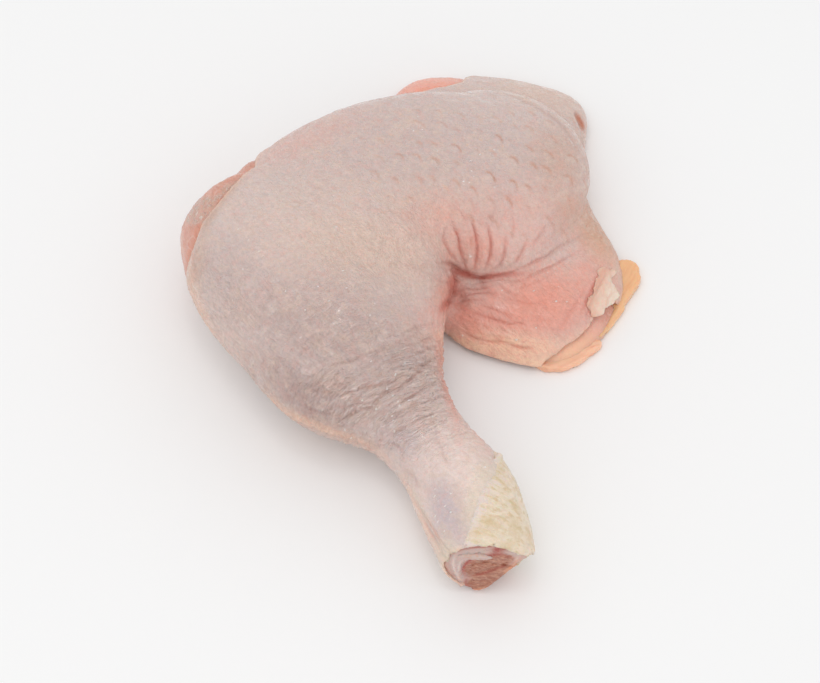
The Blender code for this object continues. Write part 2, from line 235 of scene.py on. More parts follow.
# The tendon, given as the knobs and the bone are
TENDON = ((16.2, -75.0, 18.5), (4.6, 16.0, 1.3), 14.0)
TENDON_PROUD = 0.5
TENDON_GRID = 0.4
TENDON_GRAIN = (0.3, (1.2, 0.15, 1.2))

# Strokes on the skin in the picture: path, height in mm (below nought for a groove), half width in pixels
PLEATS = (
    (((447, 226), (444, 238), (449, 250), (457, 262)), -0.65, 1.8),
    (((451, 218), (458, 236), (461, 252), (467, 272)), -0.79, 1.8),
    (((470, 216), (476, 236), (477, 254), (473, 273)), -0.79, 1.7),
    (((487, 222), (491, 240), (490, 256), (484, 273)), -0.79, 1.7),
    (((505, 236), (505, 252), (501, 264), (493, 273)), -0.58, 1.8),
    (((527, 241), (521, 255), (513, 266)), -0.5, 2.1),
    (((453, 240), (456, 256), (460, 266)), 0.42, 2.8),
    (((466, 232), (468, 250), (469, 272)), 0.68, 3.4),
    (((482, 232), (484, 250), (480, 273)), 0.68, 3.4),
    (((498, 244), (497, 258), (490, 272)), 0.51, 3.2),
    (((514, 246), (512, 258), (503, 268)), 0.34, 3.4),
    (
        ((438, 263), (450, 263), (458, 270), (468, 276), (480, 278), (494, 277), (508, 275), (520, 270)),
        -1.08,
        2,
    ),
    (((518, 271), (532, 264), (548, 256), (562, 245), (584, 234)), -0.5, 2.3),
    (((530, 274), (548, 268), (566, 258), (583, 248)), -0.36, 1.7),
    (((452, 286), (452, 296), (446, 304), (440, 311)), -0.79, 2.1),
    (((458, 283), (468, 288), (482, 288), (496, 285)), -0.43, 1.5),
    (((456, 298), (470, 294), (486, 292), (500, 295)), -0.43, 1.7),
    (((452, 304), (468, 300), (484, 300)), -0.36, 1.4),
    (((466, 284), (480, 283), (494, 281), (510, 281)), -0.36, 1.4),
    (((498, 283), (506, 291), (518, 296)), -0.29, 1.4),
    (((524, 276), (545, 268), (562, 259), (578, 251)), 0.42, 1.9),
    (((520, 289), (541, 280), (560, 270), (576, 263)), 0.34, 1.7),
    (((502, 283), (520, 281), (540, 273), (558, 263)), -0.29, 1.5),
    (((514, 290), (532, 284), (550, 276)), -0.25, 1.4),
    (((478, 305), (492, 309), (506, 315), (518, 325)), -0.36, 1.6),
    (((472, 312), (486, 317), (500, 322), (511, 323)), -0.36, 1.5),
    (((494, 321), (508, 324), (520, 323), (530, 327)), -0.4, 1.4),
    (((500, 292), (512, 299), (530, 303), (548, 301)), -0.22, 1.7),
    (((462, 331), (474, 338), (490, 342), (505, 343)), -0.43, 1.6),
    (((486, 341), (503, 342), (518, 347), (532, 348)), -0.43, 1.8),
    (((466, 327), (486, 333), (508, 336), (528, 338)), 0.3, 2.5),
    (((556, 332), (568, 316), (580, 298), (590, 280)), -0.25, 2.8),
    (((586, 318), (592, 300), (600, 284), (608, 272)), -0.43, 2.1),
    (((400, 262), (420, 268), (436, 266)), -0.25, 3.2),
    (((452, 204), (462, 214), (466, 222)), -0.29, 1.5),
    (((470, 198), (474, 208), (473, 216)), -0.25, 1.5),
    (((495, 208), (492, 220), (494, 230)), -0.22, 1.7),
    (((512, 212), (514, 226), (512, 238)), -0.29, 1.7),
    (((548, 224), (540, 236), (532, 246)), -0.36, 2.3),
    (((385, 99), (430, 94), (480, 91), (505, 101), (545, 120), (573, 150), (584, 186)), 0.34, 2.8),
    (((500, 94), (520, 99), (548, 114), (566, 130), (578, 152)), -0.36, 2.1),
    (((575, 111), (578, 117), (581, 123), (584, 132)), -1.0, 2.2),
    (((572, 113), (574, 119), (577, 126), (580, 133)), 0.35, 1.6),
)
NECK_FOLDS = (
    (((328, 366), (342, 363), (354, 360), (364, 354)), -0.35, 1.4),
    (((330, 398), (348, 393), (366, 388), (380, 385), (396, 381)), -0.42, 1.4),
    (
        ((336, 407), (356, 404), (372, 403), (387, 393), (400, 387), (412, 378), (424, 367), (436, 350)),
        -0.45,
        1.5,
    ),
    (((341, 420), (352, 415), (365, 409), (377, 410)), -0.42, 1.5),
    (((400, 333), (416, 328), (436, 323)), -0.32, 1.4),
    (((414, 345), (427, 339), (438, 337)), -0.35, 1.4),
    (((409, 357), (428, 349), (438, 345)), -0.35, 1.4),
    (((412, 372), (428, 362), (438, 356)), -0.32, 1.4),
    (((304, 388), (320, 392), (330, 392)), -0.24, 1.7),
    (((300, 404), (318, 412), (336, 416)), -0.28, 1.7),
    (((388, 412), (406, 400), (424, 390), (442, 382)), -0.32, 1.4),
    (((384, 424), (404, 412), (424, 402), (448, 396)), -0.28, 1.4),
    (((392, 436), (410, 424), (432, 414), (454, 408)), -0.28, 1.4),
    (((384, 446), (392, 444), (402, 452), (400, 464)), -0.28, 1.5),
    (((404, 470), (414, 478), (416, 490)), -0.32, 1.4),
    (((430, 430), (440, 444), (444, 458), (452, 468)), -0.21, 1.4),
    (((412, 496), (424, 516), (436, 536), (448, 560)), -0.42, 1.4),
    (((430, 520), (440, 538), (452, 556), (462, 572)), -0.42, 1.3),
    (((422, 516), (430, 532), (440, 550), (452, 574)), -0.45, 1.4),
    (((426, 512), (436, 530), (446, 548), (457, 570)), 0.4, 1.8),
    (((434, 524), (443, 540), (452, 554), (460, 566)), 0.3, 1.4),
    (((264, 166), (247, 186), (226, 209), (209, 230), (196, 252), (190, 272)), 0.2, 2.6),
)

# Patches of the skin in the picture: middle, half sizes and turn in degrees, and strength
PATCHES = {
    "flush": (
        ((478, 246), (36, 26), 0, 0.62),
        ((505, 236), (70, 44), -10, 0.38),
        ((540, 306), (64, 38), -8, 1.0),
        ((478, 322), (44, 26), 8, 0.9),
        ((500, 345), (56, 14), 6, 0.9),
        ((585, 292), (30, 38), 0, 0.75),
        ((452, 300), (18, 26), 0, 0.7),
        ((446, 372), (6, 46), -12, 0.8),
        ((452, 220), (44, 24), 0, 0.4),
        ((300, 140), (60, 12), -25, 0.25),
    ),
    "warm": (
        ((372, 248), (88, 36), 8, 0.9),
        ((300, 205), (60, 30), -20, 0.35),
        ((420, 210), (50, 40), 0, 0.5),
        ((598, 236), (16, 34), -25, 0.3),
        ((540, 92), (44, 12), 15, 0.8),
        ((470, 466), (14, 30), 10, 0.6),
    ),
    # Violet: partly the skin's own purple-grey, partly painted shade on the drumstick's lower-left side
    "violet": (
        ((290, 396), (62, 30), 42, 0.75),
        ((335, 325), (84, 46), 20, 0.6),
        ((452, 284), (16, 20), 0, 0.5),
        ((432, 150), (130, 50), 5, 0.35),
        ((225, 290), (40, 60), 10, 0.3),
        ((440, 280), (20, 24), 0, 0.5),
    ),
    "tan": (
        ((600, 232), (20, 36), -28, 1.0),
        ((574, 214), (18, 32), -30, 0.5),
        ((560, 162), (26, 36), -10, 0.45),
        ((196, 262), (9, 34), 8, 0.45),
        ((228, 345), (14, 44), -38, 0.2),
    ),
    "light": (
        ((446, 452), (34, 34), -25, 1.0),
        ((474, 478), (16, 30), -20, 0.9),
        ((424, 500), (8, 30), -24, 0.5),
        ((236, 352), (20, 60), -35, 0.3),
        ((335, 320), (60, 36), 15, 0.16),
    ),
    "lilac": (
        ((446, 512), (13, 30), -14, 1.0),
        ((404, 440), (22, 14), 40, 0.6),
        ((425, 452), (34, 30), 0, 0.2),
    ),
    # Edge colour: the thin skin's own cream, made brighter here as painted light on the flap's shaded lower
    # edge
    "edge": (
        ((470, 346), (30, 7), 18, 1.0),
        ((530, 362), (46, 9), 8, 1.0),
        ((516, 348), (56, 14), 6, 0.9),
        ((575, 350), (20, 12), -40, 0.8),
        ((606, 255), (12, 40), -30, 0.2),
    ),
    # Painted shade at the bottom of the pink skin's creases and in the pit
    "deep": (
        ((464, 274), (14, 3.5), 14, 0.8),
        ((500, 275), (22, 3), -4, 0.6),
        ((453, 284), (5, 12), 0, 0.7),
        ((446, 304), (4, 9), 30, 0.7),
    ),
    "across": (
        ((412, 380), (50, 50), -35, 0.9),
        ((350, 402), (72, 32), 15, 0.9),
        ((430, 440), (26, 34), 10, 0.15),
        ((450, 285), (18, 24), 0, 0.4),
        ((280, 390), (60, 44), 40, 0.45),
        ((400, 420), (60, 36), 0, 0.8),
        ((330, 330), (110, 56), 10, 0.45),
    ),
    "cream": (
        ((486, 476), (14, 12), -45, 0.6),
        ((474, 502), (8, 26), 12, 0.6),
        ((450, 556), (12, 18), -30, 0.7),
    ),
    "along": (
        ((235, 320), (46, 80), -25, 1.0),
        ((390, 245), (70, 50), 0, 0.8),
        ((300, 200), (90, 50), 0, 0.35),
        ((540, 305), (70, 50), 0, 0.5),
        ((320, 340), (80, 46), 15, 0.7),
    ),
    "rough": (
        ((446, 372), (9, 52), -14, 0.8),
        ((474, 424), (8, 22), -32, 0.7),
        ((344, 435), (66, 9), 22, 0.9),
        ((262, 400), (40, 8), 42, 0.4),
        ((402, 474), (8, 22), -28, 0.5),
        ((600, 240), (10, 40), -26, 0.2),
    ),
    # Where painted glints go: small white spots that stand in for wet highlights
    "specks": (
        ((441, 508), (13, 28), -14, 1.0),
        ((448, 480), (20, 12), -20, 0.4),
        ((474, 476), (16, 8), -40, 0.5),
        ((400, 392), (66, 40), -25, 0.3),
        ((398, 412), (12, 8), -30, 0.7),
        ((370, 356), (12, 6), -20, 0.6),
        ((471, 177), (8, 7), 0, 1.0),
        ((459, 184), (7, 6), 0, 0.9),
        ((471, 160), (9, 5), -45, 0.8),
        ((541, 197), (7, 7), 0, 0.8),
        ((520, 238), (6, 6), 0, 0.6),
        ((541, 328), (6, 5), 0, 0.9),
        ((420, 150), (130, 60), 0, 0.14),
        ((320, 260), (120, 90), 0, 0.15),
        ((500, 290), (90, 60), 0, 0.17),
    ),
    "pimples": (
        ((320, 350), (90, 60), 20, 1.0),
        ((300, 240), (80, 60), 0, 0.5),
        ((440, 275), (20, 20), 0, 0.6),
    ),
    "marks": (
        ((300, 200), (90, 70), -25, 1.0),
        ((420, 150), (110, 60), 0, 0.8),
        ((330, 270), (90, 40), 0, 0.7),
        ((540, 200), (40, 60), 0, 0.5),
    ),
    "rows": (
        ((515, 172), (84, 60), 5, 1.0),
        ((430, 160), (64, 52), 0, 0.7),
        ((330, 200), (90, 60), 0, 0.25),
    ),
}

# Lines of colour on the skin: path, strength and half width in pixels
SKIN_LINES = {
    # The thin edges' own cream, also painted light along the shaded lower-left side
    "edge": (
        (
            ((185, 250), (192, 290), (212, 338), (244, 380), (284, 411), (330, 431), (370, 446), (396, 470)),
            0.6,
            5.0,
        ),
        (((400, 470), (408, 492), (418, 512), (432, 540), (446, 566)), 0.5, 3.0),
        (((425, 514), (436, 534), (448, 556)), 0.3, 1.6),
        (((438, 337), (462, 345), (492, 355), (520, 362), (548, 369)), 0.9, 5.0),
        (((262, 152), (247, 168), (228, 190), (212, 210)), 0.5, 2.0),
        (((588, 188), (598, 212), (611, 238), (620, 256)), 0.3, 2.5),
    ),
    "cream": (
        (((408, 480), (418, 502), (430, 526)), 0.4, 2.5),
    ),
    # Painted shade along the pink skin's creases
    "deep": (
        (((444, 262), (455, 268), (466, 275), (480, 278), (495, 277), (508, 275)), 0.8, 2.0),
        (((453, 282), (450, 294), (442, 307)), 0.6, 2.2),
        (((580, 316), (588, 298), (597, 280), (606, 270)), 0.5, 2.6),
        (((470, 312), (490, 318), (512, 324)), 0.35, 1.6),
        (((500, 342), (520, 347), (536, 348)), 0.4, 1.8),
    ),
    # Along the knee window's edge: flesh showing through thin skin, and partly painted shadow under the
    # skin's cut edge
    "tan": (
        (((250, 172), (232, 188), (218, 206), (206, 224), (197, 244)), 0.6, 4.5),
    ),
    "slit": (
        (((576, 113), (579, 119), (582, 125), (584, 131)), 1.0, 2.2),
    ),
    "flush": (
        (((436, 334), (441, 352), (447, 374), (456, 396), (470, 418), (484, 440)), 0.9, 4.0),
        (((440, 318), (470, 330), (505, 340), (540, 346)), 0.9, 10.0),
    ),
}

MEAT_PATCHES = {
    "film": (((201, 211), (17, 10), -38, 1.0), ((226, 190), (20, 5), -42, 0.6)),
    "dark": (
        ((494, 570), (40, 24), -14, 0.6),
        ((580, 122), (8, 14), 0, 0.3),
    ),
    "salmon": (((425, 86), (44, 13), -4, 1.0),),
    "mauve": (((595, 328), (11, 14), 0, 1.0),),
    "lip": (((568, 353), (30, 9), -32, 1.0),),
    "blood": (((430, 86), (34, 8), -6, 1.0),),
}

# The cut face in the picture: patches on it, and lines as path, strength and half width in pixels
CUT_PATCHES = {
    "marrow": (((489, 565), (26, 9.5), -13, 1.0), ((486, 580), (20, 7), -17, 1.0)),
    "pad": (
        ((470, 554), (24, 9), -6, 1.0),
        ((457, 566), (9, 18), -20, 1.0),
        ((514, 555), (15, 7), -15, 1.0),
    ),
    "rind": (((514, 568), (10, 7), -30, 0.8),),
}
CUT_LINES = {
    "red": (
        (((512, 557), (500, 554), (486, 556), (473, 559), (465, 565), (463, 572), (468, 577)), 1.0, 1.7),
        (((466, 577), (480, 574), (496, 569), (510, 563)), 0.75, 1.1),
        (((472, 588), (466, 584), (467, 578)), 0.7, 1.5),
        (((492, 553), (499, 549), (507, 547)), 1.1, 3.2),
        (((504, 547), (512, 547), (519, 548)), 1.0, 2.2),
        (((456, 551), (470, 548), (490, 546), (505, 546)), 0.7, 1.3),
    ),
    "rind": (
        (((464, 591), (480, 589), (494, 583), (508, 574), (518, 563)), 1.0, 2.4),
    ),
    "pale": (
        (((456, 555), (453, 563), (456, 574), (463, 583)), 1.0, 1.4),
        (((463, 579), (459, 572), (460, 564), (468, 558), (480, 553), (492, 551)), 0.8, 1.3),
        (((523, 553), (516, 560), (506, 566)), 0.5, 1.4),
    ),
}

# Where the cut face's net is finer, and its grooves and ridges, given as the skin's strokes are
CUT_FACE = (((487, 566), (44, 32)),)
CUT_STROKES = (
    (((500, 552), (484, 553), (470, 558), (462, 566), (462, 576), (470, 580)), -0.5, 1.6),
    (((456, 552), (453, 560), (455, 570), (462, 580)), 0.35, 1.6),
    (((462, 578), (478, 574), (496, 568), (511, 562)), -0.5, 1.5),
    (((500, 549), (508, 556), (522, 552)), -0.3, 1.6),
    (((464, 590), (480, 588), (494, 582), (508, 572)), 0.35, 1.6),
)

# How far the bare meat bulges in the windows, from how far outside them, and over what run
BULGE = 0.85
BULGE_START = 1.0
BULGE_RUN = 2.5

# The same at the hock, from a place along Y
HOCK_BULGE = 0.55
HOCK_START = -66.0
HOCK_RUN = 8.0

# How far the meat clears the skin, and below what height it sinks, to what share of its depth
SKIN_CLEAR = 0.3
SINK_HEIGHT = 20.0
SINK_MOST = 1.3

# How far the meat is smoothed, in square millimetres, and its last grid's share of its first
MEAT_MELT = 1.0
MEAT_EVEN = 0.9

# The pleats' share of their given size, and the depth at which a crease has its full painted shade
PLEAT_SHARE = 0.84
DEEP_CREASE = 1.0

# Where the skin's net is finer: middle and half sizes in the picture
FINE_REGIONS = (
    ((526, 292), (104, 82)),
    ((374, 384), (88, 66)),
    ((462, 500), (46, 72)),
    ((580, 122), (14, 20)),
)

# Thin edges: the share of the thickness left, how far the surface dips, and from how far in
SKIN_EDGE = (0.3, 0.55, 2.5)
CUFF_EDGE = (0.4, 0.75, 2.0)
FLAKE_EDGE = (0.3, 0.3, 2.5)

# The skin's share of faces once its inside is thinned, and how wide its rim's colour is
SKIN_INNER_SHARE = 0.54
RIM_WIDTH = 2.6

# Torn edges: the step along them, and the length and share of each wave in them
EDGE_STEP = 0.6
EDGE_WAVES = ((13.0, 0.5), (6.0, 0.3), (2.9, 0.25), (1.7, 0.12))

# How far an open edge is moved to reach its cut, and in how many rounds it is evened out
TRIM_REACH = 1.6
TRIM_ROUNDS = 6

# How finely curves, limbs, lumps and weights are divided
STEPS_TO_A_CORNER = 6
LIMB_SIDES = 6
LIMB_STEPS = 8
SLAB_STEPS = 5
LUMP_SEGMENTS = 48
KNOB_SEGMENTS = 32
WALL_LEVELS = 16

# The distance for welding, in metres, and the least that a point faces the camera to be in a finer net
WELD = 1e-5
LEAST_FACING = -0.1

# A stroke's share left at its ends, and how flat a patch is in its middle and how fast it falls off
STROKE_END = 0.15
PATCH_FLATNESS = 1.3
PATCH_FALL = 0.7

# The reliefs' inputs, and how far a seed moves their noise
SKIN_SIZES = (
    "Lump Height", "Wrinkle Depth", "Line Depth", "Pimple Height", "Pimple Spacing", "Follicle Height",
    "Follicle Spacing", "Rough Height",
)
MEAT_SIZES = ("Fibre Depth", "Lump Height")
SCALE_SIZES = ("Scale Height", "Scale Size")
SEED_SHIFT = 37.0

# How far round from X the shank's wrinkles, the muscles' fibres and the cuff's scales are turned, in degrees
SHANK_TURN = 57.0
MUSCLE_TURN = 55.0
CUFF_TURN = 18.0

# A colour Mix node's sockets by number: its factor, its two colours, and its result
MIX_SOCKETS = (0, 6, 7, 2)

# Wet materials: how far each colour scatters under the surface, as a share, and the wet coat's roughness
SCATTER = (1.0, 0.35, 0.22)
COAT_ROUGHNESS = 0.12

# The stage, in metres: the floor's size, and each lamp's place and width
FLOOR_SIZE = 6.0
LAMPS = {
    "overhead": ((-0.06, -0.12, 0.75), 0.5),
    "front": ((-0.25, -0.7, 0.45), 1.0),
    "glint": ((-0.02, -0.04, 0.75), 0.08),
}


def lin(red, green, blue):
    """A colour given as a screen shows it, 0 to 255, in the scene's linear values."""
    parts = [value / 255 for value in (red, green, blue)]
    return tuple(part / 12.92 if part <= 0.04045 else ((part + 0.055) / 1.055) ** 2.4 for part in parts)


def length(name, description, default):
    return FloatProperty(
        name=name, description=description, default=default * MM, min=0, unit="LENGTH", precision=5
    )


def power(name, description, default):
    return FloatProperty(name=name, description=description, default=default, unit="POWER")


def colour(name, description, red, green, blue):
    return FloatVectorProperty(
        name=name,
        description=description,
        default=lin(red, green, blue),
        subtype="COLOR",
        size=3,
        min=0,
        max=1,
    )


class FormSettings(bpy.types.PropertyGroup):
    grid: length("Grid", "Spacing of the fine surface's points", 0.82)
    meat_grid: length("Meat grid", "Spacing of the meat's points", 0.95)


class SkinSettings(bpy.types.PropertyGroup):
    thickness: length("Thickness", "Thickness of the skin", 1.2)
    lump_height: length("Lumps", "Height of the soft lumps all over the skin", 0.55)
    wrinkle_depth: length("Wrinkles", "Depth of the wrinkles across the shank", 0.4)
    line_depth: length("Lines", "Depth of the fine lines along the muscles", 0.22)
    pimple_height: length("Pimples", "Height of the pale pimples", 0.42)
    pimple_spacing: length("Pimple spacing", "Distance between pimples", 4.4)
    follicle_height: length("Follicles", "Height of the feather follicles' rims", 0.42)
    follicle_spacing: length("Follicle spacing", "Distance between the feather follicles", 5.4)
    rough_height: length("Rough edges", "Height of the ragged lumps along some edges", 3.4)
    seed: IntProperty(name="Seed", description="Varies the relief", default=3)
    pale: colour("Pale", "Skin over the muscles", 219, 199, 193)
    warm: colour("Warm", "Skin with fat under it", 224, 197, 182)
    # Violet: the skin's own purple-grey tone, and painted shade on the drumstick's lower-left side
    violet: colour("Violet", "Thin skin with dark flesh under it", 180, 154, 149)
    lilac: colour("Lilac", "Thin wet skin over the shin's tendons", 206, 189, 190)
    flush: colour("Flush", "Pink skin of the flap and the pleats", 239, 162, 142)
    # Edge: the thin edges' own cream, and painted light on low sides that lie in shade
    edge: colour("Edge", "Thin edges of the skin", 255, 211, 182)
    # Tan: dry skin's own colour; along the knee window it is partly painted shadow under the skin's edge
    tan: colour("Tan", "Dry skin along the back edge and the knee", 200, 159, 135)
    # Painted shade: the red-brown laid in the pink skin's creases
    deep: colour("Deep", "Skin at the bottom of the pink skin's creases", 196, 88, 68)
    pimple: colour("Pimple", "Pale pimples", 226, 206, 198)
    follicle: colour("Follicle", "Tint of the feather follicles", 204, 140, 110)
    # Painted shade: the darker colour laid in the creases, wrinkles and fine threads
    fold: colour("Fold", "Pale skin in creases and wrinkles", 172, 126, 112)
    slit: colour("Slit", "Inside of the slit at the back edge", 200, 128, 102)
    light: colour("Light", "Thick pale skin over the shank", 243, 222, 213)
    cream: colour("Cream", "Skin that turns to scales at the hock", 228, 212, 190)
    mark: colour("Mark", "Small orange marks of fat under the skin", 222, 180, 150)
    # Painted highlight: white for the small glints of the wet skin
    painted_glint: colour("Speck", "Small wet white specks", 246, 238, 234)


class MeatSettings(bpy.types.PropertyGroup):
    fibre_depth: length("Fibres", "Depth of the meat's fibres", 0.34)
    lump_height: length("Lumps", "Height of the meat's soft lumps", 0.5)
    flesh: colour("Flesh", "Bare meat", 214, 150, 128)
    dark: colour("Dark flesh", "Bare meat where blood has pooled", 170, 96, 80)
    film: colour("Film", "Wet membrane over the meat", 206, 166, 149)
    # Pale lines of seams and membranes, and painted glints on the wet film
    pale_line_and_glint: colour("Film's bubbles", "Bubbles and folds in the membrane", 244, 226, 216)
    blood: colour("Blood", "Blood spots on the meat", 150, 50, 38)
    mauve: colour("Mauve", "Thin pale sheet over the meat", 232, 174, 158)
    salmon: colour("Salmon", "Redder meat at the top edge", 240, 164, 142)
    pad: colour("Pad", "Grey tendon sheets in the cut face", 206, 180, 172)
    rind: colour("Rind", "Orange fat round the cut face", 226, 150, 112)
    red: colour("Raw red", "Blood along the cut face", 168, 66, 50)


class TrimSettings(bpy.types.PropertyGroup):
    bone_red: colour("Marrow", "Cut bone", 168, 102, 78)
    bone_pale: colour("Gristle", "Gristle in the cut bone", 204, 150, 124)
    tendon: colour("Tendon", "Tendon at the hock", 206, 182, 174)
    cuff: colour("Cuff", "Scaly skin at the hock", 238, 221, 200)
    cuff_edge: colour("Cuff edge", "Yellower flecks of the scaly skin", 216, 190, 148)
    cuff_skin: colour("Cuff's start", "Bare skin where the scales begin", 232, 213, 204)
    fat: colour("Fat", "Yellow fat", 243, 190, 142)
    fat_deep: colour("Fat shadow", "Deeper yellow of the fat's folds", 232, 170, 124)
    lip: colour("Fold", "Inner fold of skin", 250, 196, 164)
    lip_deep: colour("Fold shadow", "Deeper orange of the fold", 238, 160, 124)
    scrap: colour("Flake", "Torn flake of skin", 238, 216, 198)
    scrap_deep: colour("Flake shadow", "Pinker skin in the flake", 228, 172, 150)
    scale_height: length("Scales", "Height of the cuff's scales", 0.2)
    scale_size: length("Scale size", "Size of the cuff's scales", 1.5)


class StageSettings(bpy.types.PropertyGroup):
    floor: colour("Floor", "The floor under the piece", 246, 246, 246)
    world: FloatProperty(name="Fill", description="Strength of the light from all round", default=0.88)
    overhead: power("Overhead", "Power of the soft light overhead", 0.62)
    front: power("Front", "Power of the low soft light in front", 0.3)
    glint: power("Glint", "Power of the small light behind the wet glints", 0.13)


def link(obj):
    bpy.context.scene.collection.objects.link(obj)
    return obj


def modify(obj, kind, **settings):
    """obj with one more modifier, which as_mesh applies."""
    modifier = obj.modifiers.new(kind.lower(), kind)
    for key, value in settings.items():
        setattr(modifier, key, value)
    return obj


def as_mesh(obj):
    """A plain mesh object with the shape of obj as it stands; obj is removed."""
    bpy.context.view_layer.update()
    graph = bpy.context.evaluated_depsgraph_get()
    mesh = bpy.data.meshes.new_from_object(obj.evaluated_get(graph))
    mesh.transform(obj.matrix_world)
    name = obj.name
    bpy.data.objects.remove(obj)
    made = link(bpy.data.objects.new(name, mesh))
    made.vertex_groups.clear()
    return made


def welded(obj):
    """A mesh from a curve, its loose caps welded to its sides."""
    made = as_mesh(obj)
    bm = bmesh.new()
    bm.from_mesh(made.data)
    bmesh.ops.remove_doubles(bm, verts=bm.verts, dist=WELD)
    bm.to_mesh(made.data)
    bm.free()
    return made


def limb(name, stations):
    """A round limb through the stations, each with its own radius."""
    curve = bpy.data.curves.new(name, "CURVE")
    curve.dimensions = "3D"
    curve.bevel_depth = MM
    curve.bevel_resolution = LIMB_SIDES
    curve.resolution_u = LIMB_STEPS
    curve.use_fill_caps = True
    spline = curve.splines.new("BEZIER")
    spline.radius_interpolation = "CARDINAL"
    spline.bezier_points.add(len(stations) - 1)
    for point, (x, y, z, radius) in zip(spline.bezier_points, stations):
        point.co = Vector((x, y, z)) * MM
        point.radius = radius
        point.handle_left_type = point.handle_right_type = "AUTO"
    return welded(link(bpy.data.objects.new(name, curve)))


def lump(name, centre, half_sizes, turn, segments):
    bpy.ops.mesh.primitive_uv_sphere_add(segments=segments, ring_count=segments // 2, radius=MM)
    obj = bpy.context.object
    obj.name = name
    obj.location = Vector(centre) * MM
    obj.scale = half_sizes
    obj.rotation_euler = (0, 0, math.radians(turn))
    return as_mesh(obj)


def slab(name, outline, low, high, keep=1.0):
    """The outline between two heights, drawn in about its middle to the part keep of its size."""
    curve = bpy.data.curves.new(name, "CURVE")
    curve.dimensions = "2D"
    curve.fill_mode = "BOTH"
    curve.resolution_u = SLAB_STEPS
    curve.extrude = (high - low) / 2 * MM
    spline = curve.splines.new("BEZIER")
    spline.use_cyclic_u = True
    spline.bezier_points.add(len(outline) - 1)
    centre = np.mean(outline, axis=0)
    for point, (x, y) in zip(spline.bezier_points, centre + (np.array(outline) - centre) * keep):
        point.co = (x * MM, y * MM, 0)
        point.handle_left_type = point.handle_right_type = "AUTO"
    obj = link(bpy.data.objects.new(name, curve))
    obj.location.z = (high + low) / 2 * MM
    return welded(obj)


def joined(pieces):
    bpy.ops.object.select_all(action="DESELECT")
    for piece in pieces:
        piece.select_set(True)
    bpy.context.view_layer.objects.active = pieces[0]
    bpy.ops.object.join()
    return bpy.context.object


def remeshed(obj, grid):
    """One closed surface round all of obj, on an even grid."""
    return as_mesh(modify(obj, "REMESH", mode="VOXEL", voxel_size=grid))


def melted(obj, grid, melt):
    """obj remeshed, and smoothed over an area of melt square millimetres."""
    rounds = max(1, round(melt / (grid / MM) ** 2))
    modify(obj, "REMESH", mode="VOXEL", voxel_size=grid)
    return as_mesh(modify(obj, "SMOOTH", factor=0.5, iterations=rounds))


def without(obj, other):
    """obj with other cut away, which is removed."""
    made = as_mesh(modify(obj, "BOOLEAN", operation="DIFFERENCE", solver="MANIFOLD", object=other))
    bpy.data.objects.remove(other)
    return made


def vectors(items, key):
    flat = np.empty(len(items) * 3)
    items.foreach_get(key, flat)
    return flat.reshape(-1, 3)


def places_of(obj):
    """The points of obj, in millimetres."""
    return vectors(obj.data.vertices, "co") / MM


def normals_of(obj):
    return vectors(obj.data.vertex_normals, "vector")


def face_middles(obj):
    return vectors(obj.data.polygons, "center") / MM


def set_places(obj, places):
    obj.data.vertices.foreach_set("co", (places * MM).ravel())
    obj.data.update()


def lift_points(obj, lift):
    """Moves each point of obj along its normal, by so many millimetres each."""
    set_places(obj, places_of(obj) + normals_of(obj) * lift[:, None])


def store(obj, name, values):
    """Keeps one number a point on obj, for its relief and its material."""
    layer = obj.data.attributes.get(name) or obj.data.attributes.new(name, "FLOAT", "POINT")
    layer.data.foreach_set("value", np.ascontiguousarray(values, np.float32))


def smooth_path(points):
    """Points along a Catmull-Rom curve through the given ones."""
    points = np.array(points, float)
    ends = np.vstack([2 * points[0] - points[1], points, 2 * points[-1] - points[-2]])
    path = []
    for a, b, c, d in zip(ends, ends[1:], ends[2:], ends[3:]):
        bend = 2 * a - 5 * b + 4 * c - d
        twist = 3 * b - a - 3 * c + d
        for t in np.linspace(0, 1, STEPS_TO_A_CORNER, endpoint=False):
            path.append(b + ((c - a) * t + bend * t**2 + twist * t**3) / 2)
    path.append(points[-1])
    return np.array(path)


def closed_path(outline):
    return np.vstack([outline, outline[:1]])


def to_path(places, path):
    """Each place's distance to the path, how far along it the nearest point is (0 to 1), and that point."""
    nearest = np.full(len(places), np.inf)
    along = np.zeros(len(places))
    foot = np.zeros_like(places)
    for step, (start, end) in enumerate(zip(path, path[1:])):
        run = end - start
        t = np.clip((places - start) @ run / (run @ run), 0, 1)
        point = start + t[:, None] * run
        distance = np.linalg.norm(places - point, axis=1)
        closer = distance < nearest
        nearest[closer] = distance[closer]
        along[closer] = (step + t[closer]) / (len(path) - 1)
        foot[closer] = point[closer]
    return nearest, along, foot


def stroke(coordinates, points, height, half_width):
    """The height of a ridge, or depth of a groove, along a path in the coordinates, fading at both ends."""
    path = smooth_path(points)
    reach = 3 * half_width
    near = ((coordinates > path.min(axis=0) - reach) & (coordinates < path.max(axis=0) + reach)).all(axis=1)
    distance, along, _ = to_path(coordinates[near], path)
    fade = np.clip(4 * along * (1 - along) + STROKE_END, 0, 1)
    lift = np.zeros(len(coordinates))
    lift[near] = height * fade * np.exp(-((distance / half_width) ** 2))
    return lift


def inside(flat, outline):
    """Which places lie inside the outline, seen from above."""
    corners = np.array(outline, float)
    within = np.zeros(len(flat), bool)
    for (x1, y1), (x2, y2) in zip(corners, np.roll(corners, -1, axis=0)):
        spans = (y1 > flat[:, 1]) != (y2 > flat[:, 1])
        crossing = x1 + (flat[:, 1] - y1) * (x2 - x1) / ((y2 - y1) or 1.0)
        within ^= spans & (flat[:, 0] < crossing)
    return within


